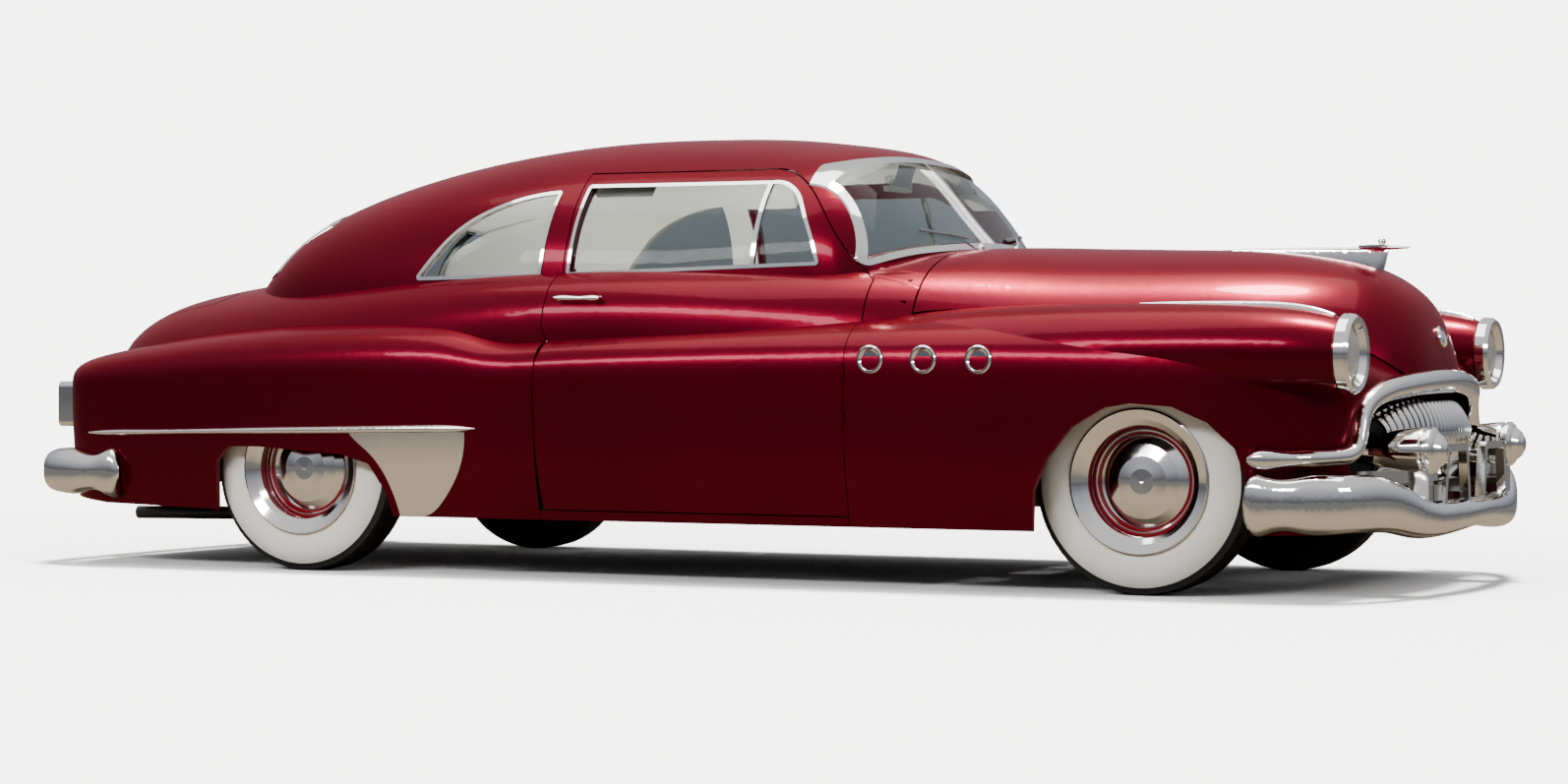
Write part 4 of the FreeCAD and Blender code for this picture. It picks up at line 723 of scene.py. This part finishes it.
@dataclass
class Wheels:
    """Four whitewall tyres with grooved tread, on the CAD wheels."""

    radius: float = 0.358
    seat_radius: float = 0.1925
    crown_drop: float = 0.0003
    groove_depth: float = 0.007
    groove_width: float = 0.007
    groove_lip: float = 0.001
    grooves: tuple[float, ...] = (-0.038, -0.013, 0.013, 0.038)
    steps: int = 72
    weld: float = 0.0002
    shoulder: Pair = (0.0445, 0.3535)
    notch_rim: float = 0.0016
    notch_depth: float = 0.004
    crease: float = 30.0

    def profile(self) -> list[Pair]:
        """The tyre's section.

        Returns:
            (across, radius) places from the inner bead over the tread to the outer bead.
        """
        side = [(0.0684, self.seat_radius), (0.0790, 0.2060), (0.0868, 0.2250), (0.0918, 0.2450),
                (0.0942, 0.2680), (0.0938, 0.2900), (0.0900, 0.3100), (0.0830, 0.3260), (0.0745, 0.3400),
                (0.0690, 0.3475), (0.0680, 0.3520), (0.0600, 0.3562)]
        top = self.radius - self.crown_drop
        floor = self.radius - self.groove_depth
        half = self.groove_width / 2.0
        crown: list[Pair] = []
        for middle in self.grooves:
            crown += [(middle - half - self.groove_lip, top), (middle - half, floor)]
            crown += [(middle + half, floor), (middle + half + self.groove_lip, top)]
        return [(-a, r) for a, r in side] + crown + [(a, r) for a, r in reversed(side)]

    def build(self) -> None:
        """Make one tyre, copy it to the other three wheels, and dress all four."""
        model: Optional[Piece] = None
        for name, centre in self.places().items():
            tyre_name = f"tyre_{name}"
            if model is None:
                home = Vector(centre)
                model = tyre = self.tyre(centre)
            else:
                tyre = model.copy()
                tyre.data = model.data.copy()
                bpy.context.scene.collection.objects.link(tyre)
                tyre.data.transform(Matrix.Translation(Vector(centre) - home))
            tyre.name = tyre.data.name = f"{tyre_name}_tread"
            rubber = RubberFinish(f"whitewall_{name}", centre).build()
            Bench.finish(tyre, rubber, Slot.TYRE, f"wheel_{name}")
            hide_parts(tyre_name)
            pressing = WheelFinish(f"pressed_wheel_{name}", centre).build()
            CadSkin.dress(frame["nodes"][f"wheel_{name}"], pressing)

    def tyre(self, centre: Place) -> Piece:
        """One tyre, spun round its axle.

        Args:
            centre: Its middle.

        Returns:
            The tyre.
        """
        x, y, z = centre
        tyre = Bench.drawn("tyre", [(x, y + across, z + radius) for across, radius in self.profile()])
        with Bench.editing(tyre, "VERT", "SELECT"):
            bpy.ops.mesh.spin(steps=self.steps, angle=2.0 * math.pi, center=centre, axis=(0.0, 1.0, 0.0))
            bpy.ops.mesh.select_all(action="SELECT")
            bpy.ops.mesh.remove_doubles(threshold=self.weld)
            bpy.ops.mesh.normals_make_consistent(inside=False)
        step = 2.0 * math.pi / self.steps

        def notched(face: bmesh.types.BMFace) -> bool:
            """True on alternate faces of the shoulder ribs."""
            offset = face.calc_center_median() - Vector(centre)
            turn = math.floor((math.atan2(offset.z, offset.x) + math.pi) / step)
            outer = abs(offset.y) > self.shoulder[0] and math.hypot(offset.x, offset.z) > self.shoulder[1]
            return outer and turn % 2 == 0

        with Bench.editing(tyre):
            Bench.pick(tyre, "faces", notched)
            bpy.ops.mesh.inset(thickness=self.notch_rim, depth=-self.notch_depth, use_individual=True)
        Bench.smooth(tyre, self.crease)
        return tyre

    @staticmethod
    def places() -> dict[str, Place]:
        """Each wheel's middle, from its CAD tyre."""
        found: dict[str, Place] = {}
        for end in ("front", "rear"):
            for side in ("right", "left"):
                low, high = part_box(f"tyre_{end}_{side}")
                found[f"{end}_{side}"] = tuple((a + b) / 2.0 for a, b in zip(low, high))
        return found


@dataclass(frozen=True)
class Pad:
    """One padded piece: the CAD node it stands for, half its width, and (x, z) corners of its side."""

    name: str
    node: str
    half: float
    profile: tuple[Pair, ...]


@dataclass
class Seats:
    """Padded bench seats with sewn channels."""

    palette: Palette
    pads: tuple[Pad, ...] = (
        Pad("front_seat_cushion", "front_seat", 0.640,
            ((-0.050, 0.372), (0.425, 0.372), (0.428, 0.545), (-0.015, 0.528))),
        Pad("front_seat_back", "front_seat", 0.640,
            ((-0.135, 0.380), (-0.072, 0.380), (-0.034, 0.550), (-0.168, 0.940), (-0.225, 0.940))),
        Pad("rear_seat_cushion", "rear_seat", 0.590,
            ((-0.875, 0.372), (-0.432, 0.372), (-0.432, 0.545), (-0.845, 0.528))),
        Pad("rear_seat_back", "rear_seat", 0.545,
            ((-0.905, 0.615), (-0.865, 0.560), (-1.085, 0.915), (-1.145, 0.915))),
    )
    rounding: float = 0.022
    rounding_steps: int = 3
    voxel: float = 0.014
    cap: float = 0.024
    pressure: float = 4.0
    frames: int = 20
    quality: int = 4
    channel: float = 0.115
    channel_reach: float = 0.03
    channel_width: float = 0.009
    channel_depth: float = 0.007
    flank: float = 0.6
    crease: float = 80.0
    plain_crease: float = 60.0

    def build(self) -> None:
        """Make the four padded pieces."""
        for pad in self.pads:
            piece = self.stuffed(pad)
            Bench.finish(piece, self.palette.by_slot[Slot.UPHOLSTERY], Slot.UPHOLSTERY, "body")
            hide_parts(pad.node)

    def stuffed(self, pad: Pad) -> Piece:
        """Args:
            pad: What it is made from.

        Returns:
            The finished pad.
        """
        piece = Bench.drawn(pad.name, [(x, -pad.half, z) for x, z in pad.profile], closed=True)
        with Bench.editing(piece, action="SELECT"):
            Bench.push((0.0, 2.0 * pad.half, 0.0))
            bpy.ops.mesh.select_all(action="SELECT")
            bpy.ops.mesh.normals_make_consistent(inside=False)
        Bench.apply(piece, "BEVEL", width=self.rounding, segments=self.rounding_steps,
                    limit_method="NONE")
        Bench.apply(piece, "REMESH", mode="VOXEL", voxel_size=self.voxel)
        rest = [vertex.co.copy() for vertex in piece.data.vertices]
        self.inflate(piece)
        for vertex, home in zip(piece.data.vertices, rest):
            shift = vertex.co - home
            if shift.length > self.cap:
                vertex.co = home + shift * (self.cap / shift.length)
        self.sew(piece, pad.half)
        Bench.apply(piece, "SUBSURF", levels=1, render_levels=1)
        Bench.smooth(piece, self.crease)
        return piece

    def inflate(self, piece: Piece) -> None:
        """Blow a pad up with cloth pressure and keep the result.

        Args:
            piece: The pad.
        """
        scene = bpy.context.scene
        Bench.take(piece)
        cloth = piece.modifiers.new("stuffing", "CLOTH")
        cloth.settings.use_pressure = True
        cloth.settings.uniform_pressure_force = self.pressure
        cloth.settings.effector_weights.gravity = 0.0
        cloth.settings.quality = self.quality
        cloth.point_cache.frame_start = 1
        cloth.point_cache.frame_end = self.frames
        for step in range(1, self.frames + 1):
            scene.frame_set(step)
        bpy.ops.object.modifier_apply(modifier=cloth.name)
        scene.frame_set(1)

    def sew(self, piece: Piece, half: float) -> None:
        """Draw sewn channels across the width by easing points inwards.

        Args:
            piece: The pad.
            half: Half its width.
        """
        count = int(half / self.channel)
        seams = [self.channel * k for k in range(-count, count + 1)]
        normals = [vertex.normal.copy() for vertex in piece.data.vertices]
        for vertex, normal in zip(piece.data.vertices, normals):
            nearest = min(abs(vertex.co.y - seam) for seam in seams)
            if nearest < self.channel_reach and abs(normal.y) < self.flank:
                vertex.co -= normal * self.channel_depth * math.exp(-((nearest / self.channel_width) ** 2))


@dataclass
class Wipers:
    """Two parked wipers; places given as pairs are (Y away from the middle, Z)."""

    palette: Palette
    blade_start: Pair = (0.165, 1.150)
    blade_length: float = 0.27
    blade_rise: float = 0.020
    blade_width: float = 0.010
    blade_depth: float = 0.009
    blade_gap: float = 0.0075
    blade_cuts: int = 10
    blade_edge: float = 0.0015
    pivot: Pair = (0.150, 1.118)
    pivot_gap: float = 0.004
    pivot_radius: float = 0.009
    pivot_height: float = 0.016
    pivot_sides: int = 16
    neck_rim: float = 0.0035
    neck: Place = (0.006, 0.004, 0.006)
    tip: Pair = (0.285, 1.163)
    tip_gap: float = 0.017
    taper: float = 0.5
    arm_edge: float = 0.001
    ahead: float = 3.0

    def build(self) -> None:
        """Make a blade and an arm on each side."""
        for side, sign in SIDES:
            self.blade(f"wiper_{side}", sign)
            self.arm(f"wiper_{side}_arm", sign)

    def on_face(self, node: str, place: Pair, sign: float, gap: float) -> Vector:
        """A point just ahead of a CAD node's front face.

        Args:
            node: Name of the CAD node.
            place: Y away from the middle, and Z.
            sign: -1 for the car's right.
            gap: How far ahead.

        Returns:
            The point.
        """
        y, z = sign * place[0], place[1]
        return Vector((Bench.meet(node, (self.ahead, y, z), (-1.0, 0.0, 0.0), self.ahead) + gap, y, z))

    def blade(self, name: str, sign: float) -> None:
        """A rubber blade that follows the glass.

        Args:
            name: The piece's name.
            sign: -1 for the car's right.
        """
        blade = Bench.start(name, bpy.ops.mesh.primitive_cube_add, size=1.0, location=(0.0, 0.0, 0.0))
        with Bench.editing(blade, "EDGE"):
            Bench.pick(blade, "edges", lambda edge: edge.verts[0].co.y != edge.verts[1].co.y)
            bpy.ops.mesh.subdivide(number_cuts=self.blade_cuts)
        start, height = self.blade_start
        for vertex in blade.data.vertices:
            share = vertex.co.y + 0.5
            z = height + self.blade_rise * share + vertex.co.z * self.blade_width
            gap = self.blade_gap + vertex.co.x * self.blade_depth
            vertex.co = self.on_face("fixed_glass", (start + self.blade_length * share, z), sign, gap)
        Bench.soften(blade, self.blade_edge)
        Bench.finish(blade, self.palette.rubber_seal, Slot.TYRE, "body")

    def arm(self, name: str, sign: float) -> None:
        """A chrome arm drawn from its pivot to the blade.

        Args:
            name: The piece's name.
            sign: -1 for the car's right.
        """
        pivot = self.on_face("window_frames", self.pivot, sign, self.pivot_gap)
        tip = self.on_face("fixed_glass", self.tip, sign, self.tip_gap)
        neck = Vector((self.neck[0], sign * self.neck[1], self.neck[2]))
        top = Vector((0.0, 0.0, self.pivot_height / 2.0))
        arm = Bench.start(name, bpy.ops.mesh.primitive_cylinder_add, vertices=self.pivot_sides,
                          radius=self.pivot_radius, depth=self.pivot_height, location=pivot)
        with Bench.editing(arm):
            Bench.pick(arm, "faces", lambda face: face.normal.z > Bench.FACING)
            bpy.ops.mesh.inset(thickness=self.neck_rim)
            Bench.push(neck)
            Bench.push(tip - pivot - neck - top)
            bpy.ops.transform.resize(value=(self.taper,) * 3)
        Bench.soften(arm, self.arm_edge)
        Bench.finish(arm, self.palette.by_slot[Slot.CHROME], Slot.CHROME, "body")


@dataclass
class Mirror:
    """The inside mirror: a rounded case on a short stalk from the header."""

    palette: Palette
    place: Place = (0.505, 0.0, 1.345)
    size: Place = (0.022, 0.19, 0.055)
    rim: Pair = (0.006, 0.004)
    boss: Pair = (0.020, 0.004)
    stalk_rim: float = 0.004
    stalk: Place = (0.020, 0.0, 0.060)
    edge: float = 0.004
    edge_steps: int = 3
    crease: float = 50.0

    def build(self) -> None:
        """Make the case with its sunk glass, its boss and its stalk."""
        case = Bench.start("inside_mirror", bpy.ops.mesh.primitive_cube_add, size=1.0, location=self.place,
                           scale=self.size)
        with Bench.editing(case):
            Bench.pick(case, "faces", lambda face: face.normal.x < -Bench.FACING)
            bpy.ops.mesh.inset(thickness=self.rim[0], depth=-self.rim[1])
            Bench.pick(case, "faces", lambda face: face.normal.x > Bench.FACING)
            bpy.ops.mesh.inset(thickness=self.boss[0], depth=self.boss[1])
            bpy.ops.mesh.inset(thickness=self.stalk_rim)
            Bench.push(self.stalk)
        Bench.soften(case, self.edge, self.edge_steps, self.crease)
        Bench.finish(case, self.palette.by_slot[Slot.CHROME], Slot.CHROME, "body")


@dataclass
class Trim:
    """Cloth headliner and door cards, and the lead-filled corners of the cowl.

    The roof height, door inner and corner heights stand in where no skin is met.
    """

    palette: Palette
    liner_x: Pair = (-0.98, 0.44)
    liner_half: float = 0.56
    liner_cells: tuple[int, int] = (28, 22)
    liner_gap: float = 0.006
    liner_thickness: float = 0.003
    inside_height: float = 1.06
    roof_height: float = 1.3
    card_x: Pair = (-0.44, 0.62)
    card_z: Pair = (0.46, 0.88)
    card_thickness: float = 0.005
    card_gap: float = 0.0005
    card_border: float = 0.055
    card_edge: float = 0.0008
    welt: Pair = (0.004, 0.002)
    door_probe: Place = (0.1, 0.0, 0.66)
    door_inner: float = 0.76
    corner_x: Pair = (0.742, 0.905)
    corner_y: Pair = (0.656, 0.714)
    corner_heights: Pair = (1.02, 1.00)
    corner_cells: tuple[int, int] = (12, 6)
    corner_thickness: float = 0.0012
    above: float = 1.6
    crease: float = 40.0

    def build(self) -> None:
        """Make the headliner, two door cards and two cowl corners."""
        self.headliner()
        for side, sign in SIDES:
            self.door_card(side, sign)
            self.cowl_corner(f"cowl_corner_{side}", sign)

    @staticmethod
    def sheet(name: str, along: Pair, across: Pair, cells: tuple[int, int]) -> Piece:
        """A flat grid at Z 0.

        Args:
            name: The piece's name.
            along: Its least and greatest X.
            across: Its least and greatest Y.
            cells: Cells along X and Y.

        Returns:
            The grid.
        """
        grid = Bench.start(name, bpy.ops.mesh.primitive_grid_add, x_subdivisions=cells[0],
                           y_subdivisions=cells[1], size=1.0)
        grid.data.transform(Matrix.Diagonal((along[1] - along[0], across[1] - across[0], 1.0, 1.0)))
        grid.data.transform(Matrix.Translation((sum(along) / 2.0, sum(across) / 2.0, 0.0)))
        return grid

    def headliner(self) -> None:
        """Cloth stretched just under the roof panel, as a square with bowed sides."""
        low_x, high_x = self.liner_x
        middle, reach = (low_x + high_x) / 2.0, (high_x - low_x) / 2.0
        liner = self.sheet("headliner", (-1.0, 1.0), (-1.0, 1.0), self.liner_cells)
        for vertex in liner.data.vertices:
            u, v = vertex.co.x, vertex.co.y
            x = middle + reach * u * math.sqrt(1.0 - v * v / 2.0)
            y = self.liner_half * v * math.sqrt(1.0 - u * u / 2.0)
            roof = Bench.meet("roof_panel", (x, y, self.inside_height), (0.0, 0.0, 1.0), self.roof_height)
            vertex.co = Vector((x, y, roof - self.liner_gap))
        Bench.apply(liner, "SOLIDIFY", thickness=self.liner_thickness, offset=0.0)
        Bench.smooth(liner, self.crease)
        Bench.finish(liner, self.palette.headliner, Slot.UPHOLSTERY, "body")

    def door_card(self, side: str, sign: float) -> None:
        """A cloth card with a sewn panel line, on one door's inner face.

        Args:
            side: right or left.
            sign: -1 for the car's right.
        """
        inner = Bench.meet(f"door_{side}", self.door_probe, (0.0, sign, 0.0), sign * self.door_inner)
        middle = (sum(self.card_x) / 2.0, inner - sign * (self.card_thickness / 2.0 + self.card_gap),
                  sum(self.card_z) / 2.0)
        size = (self.card_x[1] - self.card_x[0], self.card_thickness, self.card_z[1] - self.card_z[0])
        card = Bench.start(f"door_card_{side}", bpy.ops.mesh.primitive_cube_add, size=1.0, location=middle,
                           scale=size)
        with Bench.editing(card):
            Bench.pick(card, "faces", lambda face: face.normal.y * sign < -Bench.FACING)
            bpy.ops.mesh.inset(thickness=self.card_border)
            for way in (-1.0, 1.0):
                bpy.ops.mesh.inset(thickness=self.welt[0], depth=way * self.welt[1])
        Bench.soften(card, self.card_edge)
        Bench.finish(card, self.palette.door_card, Slot.UPHOLSTERY, f"door_{side}")

    def cowl_corner(self, name: str, sign: float) -> None:
        """Painted metal that closes the cowl's skin beside the fender.

        Args:
            name: The piece's name.
            sign: -1 for the car's right.
        """
        near, far = self.corner_y
        low_y, high_y = sorted((sign * near, sign * far))
        patch = self.sheet(name, self.corner_x, (low_y, high_y), self.corner_cells)
        for vertex in patch.data.vertices:
            inside, outside = (
                Bench.meet("cowl_panel", (vertex.co.x, sign * y, self.above), (0.0, 0.0, -1.0), miss)
                for y, miss in zip(self.corner_y, self.corner_heights))
            share = (abs(vertex.co.y) - near) / (far - near)
            vertex.co.z = inside + (outside - inside) * share
        Bench.apply(patch, "SOLIDIFY", thickness=self.corner_thickness, offset=0.0)
        Bench.smooth(patch, self.crease)
        Bench.finish(patch, self.palette.by_slot[Slot.PAINT], Slot.PAINT, "body")


@dataclass(frozen=True)
class Lamp:
    """A lamp: Blender's kind, its place, what it looks at, its strength, and an area's sides in metres."""

    name: str
    kind: str
    place: Place
    target: Place
    power: float
    sides: Pair = (0.0, 0.0)


@dataclass
class Studio:
    """Pale floor and backdrop, soft lights and the camera."""

    azimuth: float = 26.4
    pitch: float = -0.679
    position: Place = (5.723, -11.40, 0.773)
    focal_px: float = 3670.0
    width_px: float = 1594.0
    sensor: float = 36.0
    clip: float = 200.0
    floor_size: float = 60.0
    floor_cuts: int = 3
    sheet: Colour = (0.86, 0.855, 0.84)
    sheet_roughness: float = 0.9
    ground: Colour = (0.100, 0.080, 0.056)
    paper: Colour = (0.98, 0.975, 0.95)
    backdrop: float = 6.0
    far_glow: float = 0.22
    fade: Pair = (2.1, 4.6)
    fade_stretch: float = 0.62
    around: tuple[Stop, ...] = (
        (0.0, (0.20, 0.19, 0.18)),
        (0.50, (0.12, 0.12, 0.14)),
        (0.58, (0.38, 0.40, 0.46)),
        (0.78, (0.80, 0.81, 0.84)),
        (1.0, (0.9, 0.9, 0.9)),
    )
    lamps: tuple[Lamp, ...] = (
        Lamp("overhead_box", "AREA", (0.3, -0.5, 6.5), (0.0, 0.0, 0.0), 560.0, (9.0, 5.0)),
        Lamp("side_box", "AREA", (-2.0, -9.0, 5.0), (0.0, 0.0, 0.6), 900.0, (8.0, 1.2)),
        Lamp("nose_box", "AREA", (9.0, -3.5, 3.4), (1.6, 0.0, 0.6), 200.0, (2.4, 1.2)),
        Lamp("high_sun", "SUN", (0.0, 1.0, 9.0), (0.0, 0.0, 0.0), 13.0),
        Lamp("cabin_fill", "POINT", (-0.15, 0.0, 1.22), (0.0, 0.0, 0.0), 26.0),
        Lamp("rear_cabin_fill", "POINT", (-1.05, 0.0, 1.08), (0.0, 0.0, 0.0), 22.0),
    )
    sun_angle: float = 14.0
    bulb: float = 0.12

    def build(self) -> None:
        """Set the stage."""
        self.floor()
        self.sky()
        self.lights()
        self.camera()

    def floor(self) -> None:
        """A pale sheet that fades into the backdrop, and looks earthy in the bright work."""
        shader = Shader("studio_paper", self.sheet, self.sheet_roughness)
        shader.put("Specular IOR Level", 0.0)
        seen = shader.add("LightPath").outputs["Is Camera Ray"]
        shader.put("Base Color", shader.stops(seen, ((0.0, self.ground), (1.0, self.sheet))))
        x, y, _ = shader.split(shader.moved((0.0, 0.0, 0.0), (self.fade_stretch, 1.0, 1.0)))
        away = shader.maths("SUBTRACT", shader.length(x, y), self.fade[0])
        share = shader.levels(shader.maths("DIVIDE", away, self.fade[1] - self.fade[0]), 0.0, 1.0)
        strength = shader.levels(seen, self.far_glow, self.backdrop)
        glow = shader.add("Emission", {"Color": rgba(self.paper), "Strength": strength})
        both = shader.mix(share, shader.surface.outputs["BSDF"], glow.outputs["Emission"])
        shader.feed(shader.tree.nodes["Material Output"], "Surface", both)
        sheet = Bench.start("studio_floor", bpy.ops.mesh.primitive_plane_add, size=self.floor_size,
                            location=(0.0, 0.0, 0.0))
        with Bench.editing(sheet, "EDGE", "SELECT"):
            bpy.ops.mesh.subdivide(number_cuts=self.floor_cuts)
        sheet.data.materials.append(shader.material)

    def sky(self) -> None:
        """Surroundings that are dark at eye level and pale above, before a backdrop of bright paper."""
        world = bpy.data.worlds.new("soft_surroundings")
        world.use_nodes = True
        nodes = Nodes(world.node_tree)
        _, _, up = nodes.split(nodes.add("TexCoord").outputs["Generated"])
        back = nodes.tree.nodes["Background"]
        nodes.feed(back, "Color", nodes.stops(nodes.levels(up, 0.0, 1.0, start=-1.0), self.around))
        paper = nodes.add("Background", {"Color": rgba(self.paper), "Strength": self.backdrop})
        seen = nodes.add("LightPath").outputs["Is Camera Ray"]
        both = nodes.mix(seen, back.outputs["Background"], paper.outputs["Background"])
        nodes.feed(nodes.tree.nodes["World Output"], "Surface", both)
        bpy.context.scene.world = world

    def lights(self) -> None:
        """Soft boxes, a sun, and two small lamps in the cabin that don't show themselves."""
        for lamp in self.lamps:
            data = bpy.data.lights.new(lamp.name, lamp.kind)
            data.energy = lamp.power
            rig = self.stand(data, lamp.place)
            aim = Vector(lamp.target) - Vector(lamp.place)
            rig.rotation_euler = aim.to_track_quat("-Z", "Y").to_euler()
            if lamp.kind == "AREA":
                data.shape = "RECTANGLE"
                data.size, data.size_y = lamp.sides
            elif lamp.kind == "SUN":
                data.angle = math.radians(self.sun_angle)
                rig.visible_camera = True
            else:
                data.shadow_soft_size = self.bulb
                rig.visible_transmission = rig.visible_glossy = False

    @staticmethod
    def stand(data: bpy.types.ID, place: Place) -> Piece:
        """Put a light or a camera on the stage.

        Args:
            data: The light or the camera.
            place: Where it stands.

        Returns:
            Its object.
        """
        rig = bpy.data.objects.new(data.name, data)
        bpy.context.scene.collection.objects.link(rig)
        rig.location = place
        return rig

    def camera(self) -> None:
        """The camera at the photograph's viewing angle."""
        data = bpy.data.cameras.new("view")
        data.sensor_width = self.sensor
        data.lens = self.focal_px / self.width_px * self.sensor
        data.clip_end = self.clip
        rig = self.stand(data, self.position)
        rig.rotation_euler = (math.radians(90.0 + self.pitch), 0.0, math.radians(self.azimuth))
        bpy.context.scene.camera = rig


def main() -> None:
    """Dress the car, set the stage and report each sub-assembly."""
    logging.basicConfig(level=logging.INFO, format="%(name)s: %(message)s")
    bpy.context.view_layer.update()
    palette = Palette()
    cabin = (Seats(palette), Wipers(palette), Mirror(palette), Trim(palette))
    for assembly in (CadSkin(palette), Wheels(), *cabin, Studio()):
        assembly.build()
        log.info("%s is done", type(assembly).__name__)


if __name__ == "__main__":
    main()
